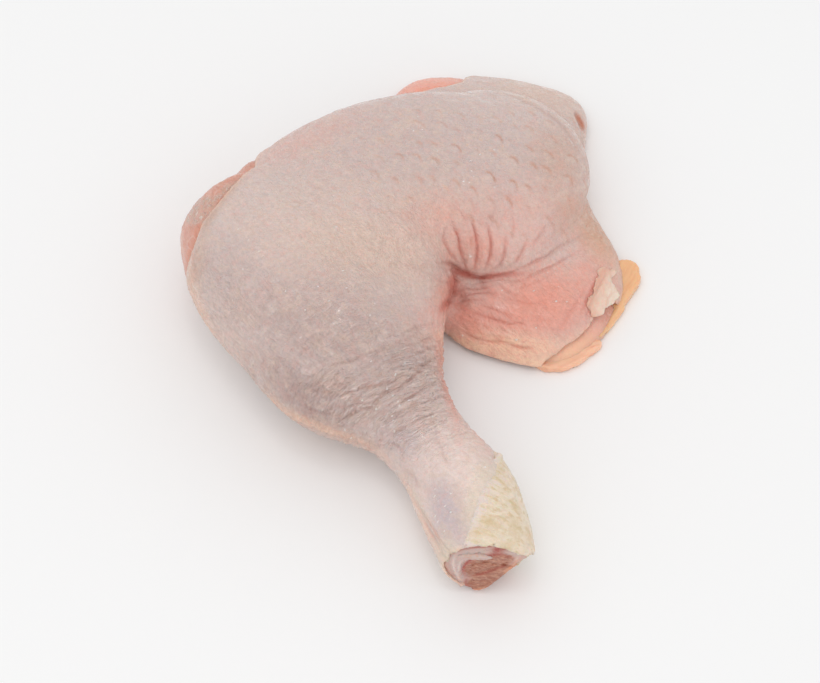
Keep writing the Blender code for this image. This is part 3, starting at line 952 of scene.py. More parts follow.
def picture_of(places):
    """Where each place shows in the picture, in pixels."""
    offset = places - (AIM + TO_CAMERA * CAMERA_DISTANCE)
    zoom = LENS / SENSOR * PICTURE[0] / -(offset @ TO_CAMERA)
    across = PICTURE[0] / 2 + offset[:, 0] * zoom
    down = PICTURE[1] / 2 - offset @ PICTURE_UP * zoom
    return np.column_stack([across, down])


def facing(obj):
    """How squarely each point of obj faces the camera, from -1 to 1."""
    return normals_of(obj) @ TO_CAMERA


def patch(picture, middle, half_sizes, turn, strength):
    """A soft patch in the picture: strength in its middle, and nought well outside it."""
    angle = math.radians(turn)
    offset = picture - np.array(middle, float)
    along = (offset[:, 0] * math.cos(angle) + offset[:, 1] * math.sin(angle)) / half_sizes[0]
    across = (offset[:, 1] * math.cos(angle) - offset[:, 0] * math.sin(angle)) / half_sizes[1]
    return strength * np.exp(-((along**2 + across**2) ** PATCH_FLATNESS) * PATCH_FALL)


def paint(obj, patches, lines):
    """Stores on obj how strongly each named kind of patch and line shows at each of its points."""
    picture = picture_of(places_of(obj))
    for name in {**patches, **lines}:
        marks = [patch(picture, *spot) for spot in patches.get(name, ())]
        marks += [stroke(picture, *line) for line in lines.get(name, ())]
        store(obj, name, np.clip(np.max(marks, axis=0), 0, 1))


def weigh(obj, weights):
    """A vertex group on obj with the given weights, from 0 to 1, in steps."""
    group = obj.vertex_groups.new(name="weight")
    steps = np.round(np.clip(weights, 0, 1) * WALL_LEVELS).astype(int)
    for level in range(1, WALL_LEVELS + 1):
        group.add(np.flatnonzero(steps == level).tolist(), level / WALL_LEVELS, "REPLACE")
    return group.name


def softened(obj, centre, radius, rounds):
    """obj smoothed further round a place."""
    near = np.linalg.norm(places_of(obj) - np.array(centre), axis=1) / radius
    weights = weigh(obj, (1 - near) * 2)
    return as_mesh(modify(obj, "SMOOTH", factor=0.5, iterations=rounds, vertex_group=weights))


def refined(obj, regions):
    """obj with twice as fine a net where the picture shows the regions."""
    picture = picture_of(places_of(obj))
    fine = np.zeros(len(picture), bool)
    for middle, half_sizes in regions:
        offset = (picture - np.array(middle)) / np.array(half_sizes)
        fine |= (offset**2).sum(axis=1) < 1
    fine &= facing(obj) > LEAST_FACING
    bm = bmesh.new()
    bm.from_mesh(obj.data)
    bm.verts.ensure_lookup_table()
    inner = [edge for edge in bm.edges if fine[edge.verts[0].index] and fine[edge.verts[1].index]]
    split = bmesh.ops.subdivide_edges(bm, edges=inner, cuts=1, use_grid_fill=True)
    fresh = [part for part in split["geom_inner"] if isinstance(part, bmesh.types.BMVert)]
    for _ in range(2):
        bmesh.ops.smooth_vert(bm, verts=fresh, factor=0.5, use_axis_x=True, use_axis_y=True, use_axis_z=True)
    bm.to_mesh(obj.data)
    bm.free()
    return obj


def fine_form(grid):
    """The whole form of flesh and skin, as the solids have it, on a fine grid."""
    lumps = [limb("drumstick", DRUMSTICK), limb("calf", CALF), limb("saddle", SADDLE)]
    lumps += [lump("muscle", *muscle, LUMP_SEGMENTS) for muscle in MUSCLES]
    lumps += [slab("apron", APRON, 0, height, keep) for height, keep in APRON_LEVELS]
    form = melted(joined(lumps), grid, FORM_MELT)
    for path, depth, half_width in CREASES:
        lift_points(form, stroke(places_of(form), path, -depth, half_width))
    return softened(form, *SOFTENED)


def press(obj, strokes):
    """Presses the strokes into the side of obj that the camera sees."""
    picture = picture_of(places_of(obj))
    lift_points(obj, sum(stroke(picture, *line) for line in strokes) * (facing(obj) > 0))


def folded(form):
    """The skin's outer surface: the form with its pleats and neck folds pressed in."""
    outer = refined(link(bpy.data.objects.new("outer", form.data.copy())), FINE_REGIONS)
    crease = np.zeros(len(outer.data.vertices))
    pleats = [(path, height * PLEAT_SHARE, half_width * PLEAT_SHARE) for path, height, half_width in PLEATS]
    for fold in (*pleats, *NECK_FOLDS):
        places = places_of(outer)
        lift = stroke(picture_of(places), *fold) * (facing(outer) > 0) * (places[:, 2] > HEM)
        lift_points(outer, lift)
        crease = np.maximum(crease, -lift)
    paint(outer, PATCHES, SKIN_LINES)
    store(outer, "crease", np.clip(crease / DEEP_CREASE, 0, 1))
    return outer


def cut_planes():
    for x, y, *degrees in HOCK_CUTS:
        turn, lean = (math.radians(angle) for angle in degrees)
        away = (math.sin(turn) * math.cos(lean), -math.cos(turn) * math.cos(lean), math.sin(lean))
        yield np.array((x, y, 0.0)), np.array(away)


def past_plane(places, point, away):
    """How far each place lies beyond a cut in the skin at the hock, which wavers a little."""
    x, _, z = places.T
    waver = sum(size * np.sin(along * x + up * z) for size, along, up in HOCK_WAVES)
    return (places - point) @ away + waver


def within_cuts(middles):
    """Which faces lie above the hem and on the piece's side of the cuts at the hock."""
    kept = middles[:, 2] > HEM
    for point, away in cut_planes():
        kept &= past_plane(middles, point, away) <= 0
    return kept


def cut_hock(obj, set_back):
    """obj cut off at the hock, so far back from the cuts in the skin."""
    for point, away in cut_planes():
        bpy.ops.mesh.primitive_cube_add(size=2 * WELL_CLEAR * MM)
        block = bpy.context.object
        block.location = Vector(point + away * (WELL_CLEAR - set_back)) * MM
        block.rotation_euler = (-math.asin(away[2]), 0, math.atan2(away[0], -away[1]))
        obj = without(obj, as_mesh(block))
    return obj


def keep_faces(obj, keep):
    """obj with only the faces marked in keep, and of those the largest connected piece."""
    bm = bmesh.new()
    bm.from_mesh(obj.data)
    bm.faces.ensure_lookup_table()
    bmesh.ops.delete(bm, geom=[bm.faces[i] for i in np.flatnonzero(~keep)], context="FACES")
    seen = set()
    bodies = []
    for start in bm.faces:
        if start in seen:
            continue
        body = [start]
        seen.add(start)
        for face in body:
            for edge in face.edges:
                fresh = [other for other in edge.link_faces if other not in seen]
                seen.update(fresh)
                body.extend(fresh)
        bodies.append(body)
    bodies.sort(key=len)
    for body in bodies[:-1]:
        bmesh.ops.delete(bm, geom=body, context="FACES")
    bm.to_mesh(obj.data)
    bm.free()
    return obj


def rim_of(obj):
    """The indices of the points on obj's open edges, and each one's two neighbours along its edge."""
    bm = bmesh.new()
    bm.from_mesh(obj.data)
    rim = {}
    for edge in bm.edges:
        if edge.is_boundary:
            first, second = (vertex.index for vertex in edge.verts)
            rim.setdefault(first, []).append(second)
            rim.setdefault(second, []).append(first)
    bm.free()
    return {index: others for index, others in rim.items() if len(others) == 2}


def trim_rim(obj, outlines, hem=None):
    """Moves the points on obj's open edges onto the cut that left them there, then evens them out."""
    rim = rim_of(obj)
    index = np.array(sorted(rim))
    places = places_of(obj)
    edge = places[index]
    best = np.full(len(index), TRIM_REACH)
    moved = edge.copy()
    for outline in outlines:
        distance, _, foot = to_path(edge[:, :2], closed_path(outline))
        closer = distance < best
        best[closer] = distance[closer]
        moved[closer, :2] = foot[closer]
        moved[closer, 2] = edge[closer, 2]
    for point, away in cut_planes():
        distance = past_plane(edge, point, away)
        closer = np.abs(distance) < best
        best[closer] = np.abs(distance[closer])
        moved[closer] = edge[closer] - distance[closer, None] * away
    if hem is not None:
        closer = np.abs(edge[:, 2] - hem) < best
        moved[closer] = edge[closer]
        moved[closer, 2] = hem
    places[index] = moved
    pairs = np.array([rim[i] for i in index])
    for _ in range(TRIM_ROUNDS):
        places[index] = places[index] / 2 + (places[pairs[:, 0]] + places[pairs[:, 1]]) / 4
    set_places(obj, places)
    return obj


def ragged(outline, tear, seed, inset=0.0):
    """The outline as a closed path in short steps, torn a little in and out, and set in all round."""
    path = smooth_path(closed_path(outline))
    gone = np.concatenate([[0], np.cumsum(np.linalg.norm(np.diff(path, axis=0), axis=1))])
    marks = np.arange(0, gone[-1], EDGE_STEP)
    path = np.column_stack([np.interp(marks, gone, path[:, axis]) for axis in range(2)])
    run = np.roll(path, -1, axis=0) - np.roll(path, 1, axis=0)
    inward = np.column_stack([-run[:, 1], run[:, 0]]) / np.linalg.norm(run, axis=1)[:, None]
    after = np.roll(path, -1, axis=0)
    inward *= np.sign((path[:, 0] * after[:, 1] - after[:, 0] * path[:, 1]).sum())
    phases = np.random.default_rng(seed).uniform(0, 2 * math.pi, len(EDGE_WAVES))
    waves = sum(
        share * np.sin(2 * math.pi * round(gone[-1] / wave) * marks / gone[-1] + phase)
        for (wave, share), phase in zip(EDGE_WAVES, phases)
    )
    return path + inward * (inset + tear * waves)[:, None]


def rim_distance(obj, skip=None):
    """How far each point of obj lies from the nearest open edge outside the outline skip, in millimetres."""
    places = places_of(obj)
    skipped = inside(places, skip) if skip else np.zeros(len(places), bool)
    rim = [index for index in sorted(rim_of(obj)) if not skipped[index]]
    tree = KDTree(len(rim))
    for index in rim:
        tree.insert(places[index], index)
    tree.balance()
    return np.array([tree.find(place)[2] for place in places])


def walled(obj, thickness, edge, inner_share=None, skip=None):
    """obj, an open surface, with a wall behind it. At its open edges the wall thins and the surface dips.

    Where inner_share is given, the whole is brought down to that share of its faces, all of them from behind.
    The open edges within the outline skip stay as they are.
    """
    thin_edge, tuck, reach = edge
    near = np.clip(1 - rim_distance(obj, skip) / reach, 0, 1) ** 2
    lift_points(obj, -tuck * near)
    weights = weigh(obj, 1 - (1 - thin_edge) * near)
    front = len(obj.data.vertices)
    modify(obj, "SOLIDIFY", thickness=thickness, offset=-1.0, use_rim=True, vertex_group=weights)
    made = as_mesh(obj)
    if inner_share:
        behind = np.arange(len(made.data.vertices)) >= front
        weights = weigh(made, behind.astype(float))
        modify(made, "DECIMATE", ratio=inner_share, vertex_group=weights, vertex_group_factor=100.0)
        made = as_mesh(made)
    return made


def rested(obj):
    """obj with nothing below the board."""
    places = places_of(obj)
    places[:, 2] = np.maximum(places[:, 2], 0)
    set_places(obj, places)
    return obj


class Term:
    """A node's output that Python's operators work on, each adding a Math node."""

    def __init__(self, graph, socket):
        self.graph = graph
        self.socket = socket

    def math(self, operation, first, second=None):
        values = {0: first} if second is None else {0: first, 1: second}
        return self.graph.node("ShaderNodeMath", {"operation": operation}, values)

    def __add__(self, other):
        return self.math("ADD", self, other)

    __radd__ = __add__

    def __sub__(self, other):
        return self.math("SUBTRACT", self, other)

    def __rsub__(self, other):
        return self.math("SUBTRACT", other, self)

    def __mul__(self, other):
        return self.math("MULTIPLY", self, other)

    __rmul__ = __mul__

    def __truediv__(self, other):
        return self.math("DIVIDE", self, other)

    def __rtruediv__(self, other):
        return self.math("DIVIDE", other, self)

    def __abs__(self):
        return self.math("ABSOLUTE", self)

    def most(self, other):
        return self.math("MAXIMUM", self, other)


class Graph:
    """A node tree, for a material or for geometry, that nodes are added to."""

    def __init__(self, tree):
        self.tree = tree

    def node(self, kind, settings=None, values=None, output=0):
        """Adds a node, sets its settings, then its sockets by name or number, and gives one output."""
        made = self.tree.nodes.new(kind)
        for key, setting in (settings or {}).items():
            setattr(made, key, setting)
        for key, value in (values or {}).items():
            self.feed(made.inputs[key], value)
        return Term(self, made.outputs[output])

    def feed(self, socket, value):
        if isinstance(value, Term):
            self.tree.links.new(value.socket, socket)
        elif socket.type == "RGBA" and len(value) == 3:
            socket.default_value = (*value, 1.0)
        else:
            socket.default_value = value

    def vector(self, operation, first, second=None, **values):
        given = {0: first} if second is None else {0: first, 1: second}
        output = 1 if operation in ("LENGTH", "DOT_PRODUCT") else 0
        return self.node("ShaderNodeVectorMath", {"operation": operation}, {**given, **values}, output)

    def scaled(self, vector, factor):
        return self.vector("SCALE", vector, Scale=factor)

    def turned(self, vector, degrees):
        values = {"Vector": vector, "Angle": math.radians(degrees)}
        return self.node("ShaderNodeVectorRotate", {"rotation_type": "Z_AXIS"}, values)

    def drawn(self, vector, degrees, stretch):
        """The vector turned about Z and stretched, so that a texture on it runs in streaks."""
        return self.vector("MULTIPLY", self.turned(vector, degrees), stretch)

    def height(self, vector):
        return self.node("ShaderNodeSeparateXYZ", {}, {"Vector": vector}, 2)

    def noise(self, vector, scale=1.0, detail=2.0, roughness=0.5, distortion=0.0, output=0):
        values = {"Vector": vector, "Scale": scale, "Detail": detail, "Roughness": roughness,
                  "Distortion": distortion}
        return self.node("ShaderNodeTexNoise", {}, values, output)

    def streaks(self, vector, degrees, stretch, detail, roughness=0.6, distortion=0.0):
        return self.noise(self.drawn(vector, degrees, stretch), 1.0, detail, roughness, distortion)

    def stirred(self, vector, scale, detail, amount):
        """The vector pushed about by a noise."""
        return self.vector("ADD", vector, self.scaled(self.noise(vector, scale, detail, output=1), amount))

    def voronoi(self, vector, randomness=1.0, feature="F1", output=0):
        values = {"Vector": vector, "Scale": 1.0, "Randomness": randomness}
        return self.node("ShaderNodeTexVoronoi", {"feature": feature}, values, output)

    def chance(self, cells):
        """A number from 0 to 1 for each cell, by chance."""
        return self.vector("DOT_PRODUCT", self.voronoi(cells, output=1), (1, 0, 0))

    def rise(self, value, low, high, to_low=0.0, to_high=1.0):
        """From to_low to to_high as value goes from low to high, smoothly."""
        values = {"Value": value, "From Min": low, "From Max": high, "To Min": to_low, "To Max": to_high}
        return self.node("ShaderNodeMapRange", {"interpolation_type": "SMOOTHSTEP"}, values)

    def blend(self, base, top, amount):
        """The colour base with the colour top over it by amount."""
        settings = {"data_type": "RGBA", "clamp_factor": True}
        factor, below, above, result = MIX_SOCKETS
        return self.node("ShaderNodeMix", settings, {factor: amount, below: base, above: top}, result)


class Relief:
    """A geometry node tree that moves a surface along its normals, with named sizes, seed and material."""

    def __init__(self, name, sizes):
        self.tree = bpy.data.node_groups.new(name, "GeometryNodeTree")
        self.graph = Graph(self.tree)
        face = self.tree.interface
        face.new_socket("Geometry", in_out="INPUT", socket_type="NodeSocketGeometry")
        face.new_socket("Geometry", in_out="OUTPUT", socket_type="NodeSocketGeometry")
        for size in sizes:
            face.new_socket(size, in_out="INPUT", socket_type="NodeSocketFloat").subtype = "DISTANCE"
        face.new_socket("Seed", in_out="INPUT", socket_type="NodeSocketInt")
        face.new_socket("Material", in_out="INPUT", socket_type="NodeSocketMaterial")
        self.entry = self.tree.nodes.new("NodeGroupInput")
        position = self.graph.node("GeometryNodeInputPosition")
        self.place = self.graph.scaled(position, 1 / MM)
        shift = self.graph.node("ShaderNodeCombineXYZ", {}, {"X": self.input("Seed")})
        self.seeded = self.graph.vector("ADD", self.place, self.graph.scaled(shift, SEED_SHIFT))
        self.geometry = self.input("Geometry")

    def input(self, name):
        return Term(self.graph, self.entry.outputs[name])

    def mark(self, name):
        return self.graph.node("GeometryNodeInputNamedAttribute", {"data_type": "FLOAT"}, {"Name": name})

    def keep(self, name, value):
        """Stores a number a point, for the material to read."""
        settings = {"data_type": "FLOAT", "domain": "POINT"}
        values = {"Geometry": self.geometry, "Name": name, "Value": value}
        self.geometry = self.graph.node("GeometryNodeStoreNamedAttribute", settings, values)

    def finish(self, lift):
        """Ends the tree: moves the surface along its normals by lift, and sets the material."""
        graph = self.graph
        offset = graph.scaled(graph.node("GeometryNodeInputNormal"), lift)
        moved = graph.node("GeometryNodeSetPosition", {}, {"Geometry": self.geometry, "Offset": offset})
        real = graph.node("GeometryNodeRealizeInstances", {}, {"Geometry": moved})
        values = {"Geometry": real, "Material": self.input("Material")}
        coated = graph.node("GeometryNodeSetMaterial", {}, values)
        exit_node = self.tree.nodes.new("NodeGroupOutput")
        self.tree.links.new(coated.socket, exit_node.inputs["Geometry"])

    def apply(self, obj, values):
        """obj as a plain mesh with this relief, its inputs set by their identifiers."""
        modifier = obj.modifiers.new(self.tree.name, "NODES")
        modifier.node_group = self.tree
        for socket in self.tree.interface.items_tree:
            if socket.item_type == "SOCKET" and socket.in_out == "INPUT" and socket.name in values:
                modifier[socket.identifier] = values[socket.name]
        return as_mesh(obj)


def chosen(settings, names):
    """Values for a relief's inputs, from the settings of the same names: Lump Height is lump_height."""
    return {name: getattr(settings, name.lower().replace(" ", "_")) for name in names}


def creases(graph, place, degrees, stretch, sharpness):
    """Winding sharp valleys between rounded ridges, from -1 in a valley to 0.4 on a ridge."""
    noise = graph.streaks(place, degrees, stretch, 2.0, 0.5)
    return graph.rise(abs(noise - 0.5), 0.0, sharpness, -1.0, 0.4)


def soft_lumps(graph, place):
    """The soft lumps that the skin and the cuff share, about nought, and the smallest of them alone."""
    lumps = graph.noise(place, 0.085, 2.0, 0.5) - 0.5
    small = graph.noise(place, 0.42, 3.0, 0.55) - 0.5
    return lumps * 1.6 + small * 0.4, small


def follicles(graph, place, spacing):
    """Rows of feather follicles, over the drawing's millimetres: an arch over each, and a cushion in it."""
    rows = graph.scaled(graph.turned(place, 3.0), 1 / spacing)
    sway = graph.scaled(graph.noise(place, 0.1, 1.0, output=1), 0.5)
    rows = graph.vector("MULTIPLY", graph.vector("ADD", rows, sway), (1.0, 0.88, 0.0))
    offset = graph.vector("SUBTRACT", rows, graph.voronoi(rows, randomness=0.35, output=2))
    radius = graph.vector("LENGTH", offset)
    uphill = graph.vector("DOT_PRODUCT", graph.vector("NORMALIZE", offset), (0.5, 0.86, 0.0))
    strength = graph.rise(graph.noise(place, 0.31, 1.0), 0.34, 0.56, 0.62, 1.0)
    arch = graph.rise(abs(radius - 0.33), 0.13, 0.0) * graph.rise(uphill, 0.1, 0.8) * strength
    return arch, graph.rise(radius, 0.4, 0.05)


def skin_relief():
    relief = Relief("Skin relief", SKIN_SIZES)
    graph, place, size, mark = relief.graph, relief.seeded, relief.input, relief.mark
    sway = graph.vector("SUBTRACT", graph.noise(place, 0.09, 2.0, output=1), (0.5, 0.5, 0.5))
    bent = graph.vector("ADD", place, graph.scaled(sway, 4.0))
    folds = creases(graph, bent, SHANK_TURN, (0.5, 0.055, 0.11), 0.08)
    fine_folds = creases(graph, bent, SHANK_TURN, (1.15, 0.11, 0.2), 0.11)
    lines = creases(graph, bent, 38.0, (0.07, 0.6, 0.35), 0.13)
    lumps, small = soft_lumps(graph, place)
    cells = graph.scaled(place, 1 / (size("Pimple Spacing") / MM))
    pimple = graph.rise(graph.voronoi(cells), 0.3, 0.08)
    pimple = pimple * graph.rise(graph.chance(cells), 0.35, 0.5) * mark("pimples")
    arch, cushion = follicles(graph, relief.place, size("Follicle Spacing") / MM)
    relief.keep("pimple_spot", pimple)
    # Where painted shade goes in the wrinkles' valleys
    relief.keep("fold_line", graph.rise(folds + fine_folds * 0.5, 0.0, -1.2) * mark("across"))
    # Lighter towards the bottom: partly the thin edges' own colour, partly painted light on the shaded low
    # sides
    relief.keep("hem", graph.rise(graph.height(relief.place) + small * 3.0, 5.5, 1.6))
    lift = size("Lump Height") * lumps
    lift = lift + size("Wrinkle Depth") * (folds * 0.6 + fine_folds * 0.6) * mark("across")
    lift = lift + size("Line Depth") * lines * (mark("along") + 0.2)
    lift = lift + size("Pimple Height") * pimple
    lift = lift + size("Follicle Height") * (cushion * 0.6 - arch * 0.6) * mark("rows")
    lift = lift + size("Rough Height") * (graph.noise(place, 0.5, 2.0, 0.6) - 0.5) * mark("rough")
    relief.finish(lift)
    return relief


def flesh_relief():
    relief = Relief("Flesh relief", MEAT_SIZES)
    graph, place, size = relief.graph, relief.seeded, relief.input
    fibres = graph.streaks(place, MUSCLE_TURN, (0.06, 0.6, 0.6), 3.0) - 0.5
    lumps = graph.noise(place, 0.16, 2.0, 0.5) - 0.5
    film = graph.noise(place, 0.55, 2.0, 0.6) - 0.5
    off_board = graph.rise(graph.height(relief.place), 0.3, 4.0)
    lift = size("Fibre Depth") * fibres * 2.0 + size("Lump Height") * lumps
    relief.finish((lift + size("Lump Height") * film * relief.mark("film")) * off_board)
    return relief


def scale_relief():
    relief = Relief("Scale relief", (*SCALE_SIZES, "Lump Height"))
    graph, place, size = relief.graph, relief.seeded, relief.input
    cells = graph.scaled(graph.stirred(place, 0.3, 2.0, 0.9), 1 / (size("Scale Size") / MM))
    cells = graph.drawn(cells, CUFF_TURN, (0.42, 1.2, 0.8))
    border = graph.voronoi(cells, randomness=0.9, feature="DISTANCE_TO_EDGE")
    full = relief.mark("scaly")
    fine = graph.noise(place, 0.9, 3.0, 0.6) - 0.5
    broad = (graph.streaks(place, CUFF_TURN, (0.1, 0.4, 0.3), 2.0, 0.5) - 0.5) * full
    lumps, _ = soft_lumps(graph, place)
    relief.keep("scale_gap", (1.0 - graph.rise(border, 0.0, 0.16)) * full)
    scales = (graph.rise(border, 0.0, 0.24) - 0.6) * full + fine * 0.8 + broad * 3.0
    relief.finish(size("Scale Height") * scales + size("Lump Height") * lumps)
    return relief


def grained(obj, name, height, stretch, turn=0.0):
    """obj with a relief of streaks, which stretch draws out along an axis that is turned round from X."""
    relief = Relief(name, ("Grain Height",))
    streaks = relief.graph.streaks(relief.seeded, turn, stretch, 3.0, 0.55)
    relief.finish(relief.input("Grain Height") * (streaks - 0.5) * 2.0)
    return relief.apply(obj, {"Grain Height": height * MM})


class Look:
    """A new wet material, whose colours are laid on in layers over Object coordinates in millimetres."""

    def __init__(self, name, base, subsurface=0.35, scale=2.2, coat=0.3):
        self.material = bpy.data.materials.new(name)
        self.material.use_nodes = True
        self.graph = Graph(self.material.node_tree)
        self.inputs = self.material.node_tree.nodes["Principled BSDF"].inputs
        self.inputs["Subsurface Weight"].default_value = subsurface
        self.inputs["Subsurface Radius"].default_value = SCATTER
        self.inputs["Subsurface Scale"].default_value = scale * MM
        self.inputs["Coat Weight"].default_value = coat
        self.inputs["Coat Roughness"].default_value = COAT_ROUGHNESS
        self.place = self.graph.scaled(self.graph.node("ShaderNodeTexCoord", output=3), 1 / MM)
        self.base = base

    def mark(self, name):
        return self.graph.node("ShaderNodeAttribute", {"attribute_name": name}, {}, 2)

    def lay(self, top, amount):
        """Lays a colour on by an amount, or where the mark of a name shows."""
        amount = self.mark(amount) if isinstance(amount, str) else amount
        self.base = self.graph.blend(self.base, top, amount)

    def finish(self, roughness, relief, depth):
        """The material, with its colour, its roughness, and a bump of so many millimetres."""
        values = {"Height": relief, "Distance": depth * MM, "Strength": 1.0}
        self.graph.feed(self.inputs["Base Color"], self.base)
        self.graph.feed(self.inputs["Roughness"], roughness)
        self.graph.feed(self.inputs["Normal"], self.graph.node("ShaderNodeBump", {}, values))
        return self.material


def skin_tones(look, settings):
    """Lays on the skin's broad tones: fat, dark flesh and pink under it, its edges and its veins; painted
    shade low on the drumstick and in creases, painted light on low edges.
    """
    graph, place, mark = look.graph, look.place, look.mark
    look.lay(settings.warm, "warm")
    # Violet: the skin's own tone, and painted shade on the drumstick's lower-left side
    look.lay(settings.violet, "violet")
    look.lay(settings.warm, graph.rise(graph.noise(place, 0.11, 3.0, 0.55), 0.5, 0.72, 0.0, 0.4))
    for name in ("tan", "light", "lilac"):
        look.lay(getattr(settings, name), name)
    look.lay(settings.flush, mark("flush") * 0.9)
    # Edge colour at cut edges, patches and low sides: partly the thin edges' own colour, partly painted light
    rim = graph.rise(mark("rim"), 0.35, 1.0)
    look.lay(settings.edge, mark("edge").most(rim * 0.6).most(mark("hem") * 0.75))
    veins = graph.streaks(place, 40.0, (0.12, 0.5, 0.4), 4.0, 0.6, 0.4)
    vein = graph.rise(abs(veins - 0.5), 0.035, 0.0)
    look.lay(settings.flush, vein * (mark("flush") + 0.12) * 0.6)
    blush = graph.noise(place, 0.33, 2.0, 0.55)
    pink = mark("flush").most(mark("edge"))
    look.lay(settings.warm, graph.rise(blush, 0.5, 0.66, 0.0, 0.4) * (1.0 - pink))
    look.lay(settings.flush, graph.rise(blush, 0.46, 0.34, 0.0, 1.0) * (pink * 0.2 + 0.11))
    redder = graph.rise(pink, 0.1, 0.45)
    # Painted shade in the creases: the fold colour in pale skin, the deep colour in pink skin
    crease = mark("crease")
    look.lay(settings.fold, crease * (1.0 - redder) * 0.85)
    look.lay(settings.deep, mark("deep").most(crease * redder * 0.9))
    look.lay(settings.slit, "slit")
    # Painted shade in the wrinkles' valleys
    look.lay(settings.fold, mark("fold_line") * 0.26)


def skin_grain(look, settings, hairs, threads):
    """Lays on painted shade in the skin's fine threads, and its marks of fat and mottle."""
    graph, place, mark = look.graph, look.place, look.mark
    # Painted shade in the fine threads' valleys
    look.lay(settings.fold, graph.rise(threads, 0.1, -1.0) * mark("across") * 0.22)
    mottle = graph.noise(place, 0.9, 4.0, 0.65)
    marks = graph.streaks(place, 30.0, (0.14, 0.3, 0.3), 3.0, 0.55, 1.6)
    marks = graph.rise(marks, 0.62, 0.69) * graph.rise(mottle, 0.42, 0.58)
    look.lay(settings.mark, marks * mark("marks") * 0.6)
    streaks = graph.rise(hairs, 0.3, 0.7, -0.5, 0.5) * (mark("along") * 0.12 + 0.03)
    look.base = graph.scaled(look.base, graph.rise(mottle, 0.32, 0.68, 0.95, 1.05) * (streaks + 1.0))


def skin_glints(look):
    """Where the skin's painted glints go: small white spots that stand in for wet highlights."""
    graph = look.graph
    stirred = graph.stirred(look.place, 1.6, 2.0, 0.8)
    cells = graph.scaled(graph.drawn(stirred, SHANK_TURN, (1.0, 0.6, 0.25)), 1.2)
    chance = graph.chance(cells) + look.mark("specks") * 0.5
    return graph.rise(graph.voronoi(cells), 0.36, 0.14) * graph.rise(chance, 1.03, 1.06)


def skin_material(settings):
    look = Look("skin", settings.pale, subsurface=0.14, scale=0.9)
    graph, place, mark = look.graph, look.place, look.mark
    skin_tones(look, settings)
    look.lay(settings.pimple, mark("pimple_spot") * 0.8)
    drawing = graph.vector("ADD", place, tuple(ORIGIN))
    arch, cushion = follicles(graph, drawing, settings.follicle_spacing / MM)
    arch = arch * mark("rows")
    look.lay(settings.follicle, arch * 0.6)
    look.lay(settings.pimple, cushion * mark("rows") * 0.25)
    look.lay(settings.cream, "cream")
    hairs = graph.streaks(graph.stirred(place, 0.12, 1.0, 6.0), 48.0, (0.22, 1.5, 1.2), 3.0)
    threads = creases(graph, graph.stirred(place, 0.14, 2.0, 3.0), SHANK_TURN, (1.7, 0.2, 0.3), 0.15)
    skin_grain(look, settings, hairs, threads)
    glints = skin_glints(look)
    # Painted glints: small white spots that stand in for wet highlights; the same spots raise small bumps
    # below
    look.lay(settings.painted_glint, glints * 0.85)
    wet = graph.noise(place, 0.35, 3.0, 0.6)
    graph.feed(look.inputs["Coat Weight"], graph.rise(wet, 0.4, 0.7, 0.05, 0.8))
    pores = graph.noise(place, 1.9, 3.0, 0.65)
    relief = pores * 0.75 + hairs * (mark("along") * 0.9 + 0.4) + glints * 0.25 - arch * 0.22
    return look.finish(graph.rise(wet, 0.35, 0.7, 0.56, 0.4), relief + threads * mark("across") * 0.35, 0.5)


def cut_face(look):
    """Lays on the cut hock's ovals of bone, grey pads, orange fat and blood, and gives the bone's pores."""
    meat = bpy.context.scene.leg_meat
    trim = bpy.context.scene.leg_trim
    graph = look.graph
    pores = graph.streaks(look.place, -10.0, (0.6, 1.2, 1.6), 4.0, 0.7)
    marrow = graph.blend(trim.bone_red, trim.bone_pale, graph.rise(pores, 0.42, 0.66, 0.0, 0.9))
    look.lay(meat.pad, "pad")
    look.lay(meat.rind, "rind")
    look.lay(marrow, graph.rise(look.mark("marrow") + (pores - 0.5) * 0.3, 0.42, 0.56))
    look.lay(meat.pale_line_and_glint, look.mark("pale") * 0.5)
    look.lay(meat.red, look.mark("red") * graph.rise(pores, 0.3, 0.5, 0.6, 1.0))
    return pores


def meat_material(settings):
    look = Look("meat", settings.flesh, subsurface=0.4, coat=0.45)
    graph, place = look.graph, look.place
    fibres = graph.streaks(place, MUSCLE_TURN, (0.1, 1.1, 1.1), 4.0)
    tones = graph.streaks(place, MUSCLE_TURN, (0.05, 0.2, 0.2), 3.0, 0.55)
    seams = graph.streaks(place, 50.0, (0.03, 0.22, 0.22), 2.0, 0.5, 0.3)
    look.lay(settings.dark, graph.rise(fibres, 0.45, 0.8, 0.0, 0.5))
    look.lay(settings.mauve, graph.rise(tones, 0.5, 0.68, 0.0, 0.35))
    look.lay(settings.pale_line_and_glint, graph.rise(abs(seams - 0.5), 0.02, 0.0) * 0.22)
    for name in ("dark", "salmon", "mauve"):
        look.lay(getattr(settings, name), name)
    look.lay(bpy.context.scene.leg_trim.lip, "lip")
    cut_face(look)
    folds = graph.noise(place, 0.6, 3.0, 0.55, 0.6)
    shine = graph.rise(abs(folds - 0.5), 0.055, 0.0) * graph.rise(graph.noise(place, 0.7, 2.0), 0.4, 0.55)
    film = graph.rise(look.mark("film") + (folds - 0.5) * 0.4, 0.25, 0.6)
    look.lay(settings.film, film * 0.75)
    # Painted glints: white shine lines on the wet film
    look.lay(settings.pale_line_and_glint, film * shine * 0.75)
    spots = graph.rise(graph.noise(place, 0.5, 3.0, 0.6), 0.66, 0.76)
    look.lay(settings.blood, spots * look.mark("blood"))
    return look.finish(graph.rise(fibres, 0.3, 0.7, 0.42, 0.28), fibres + film * shine * 0.5, 0.45)


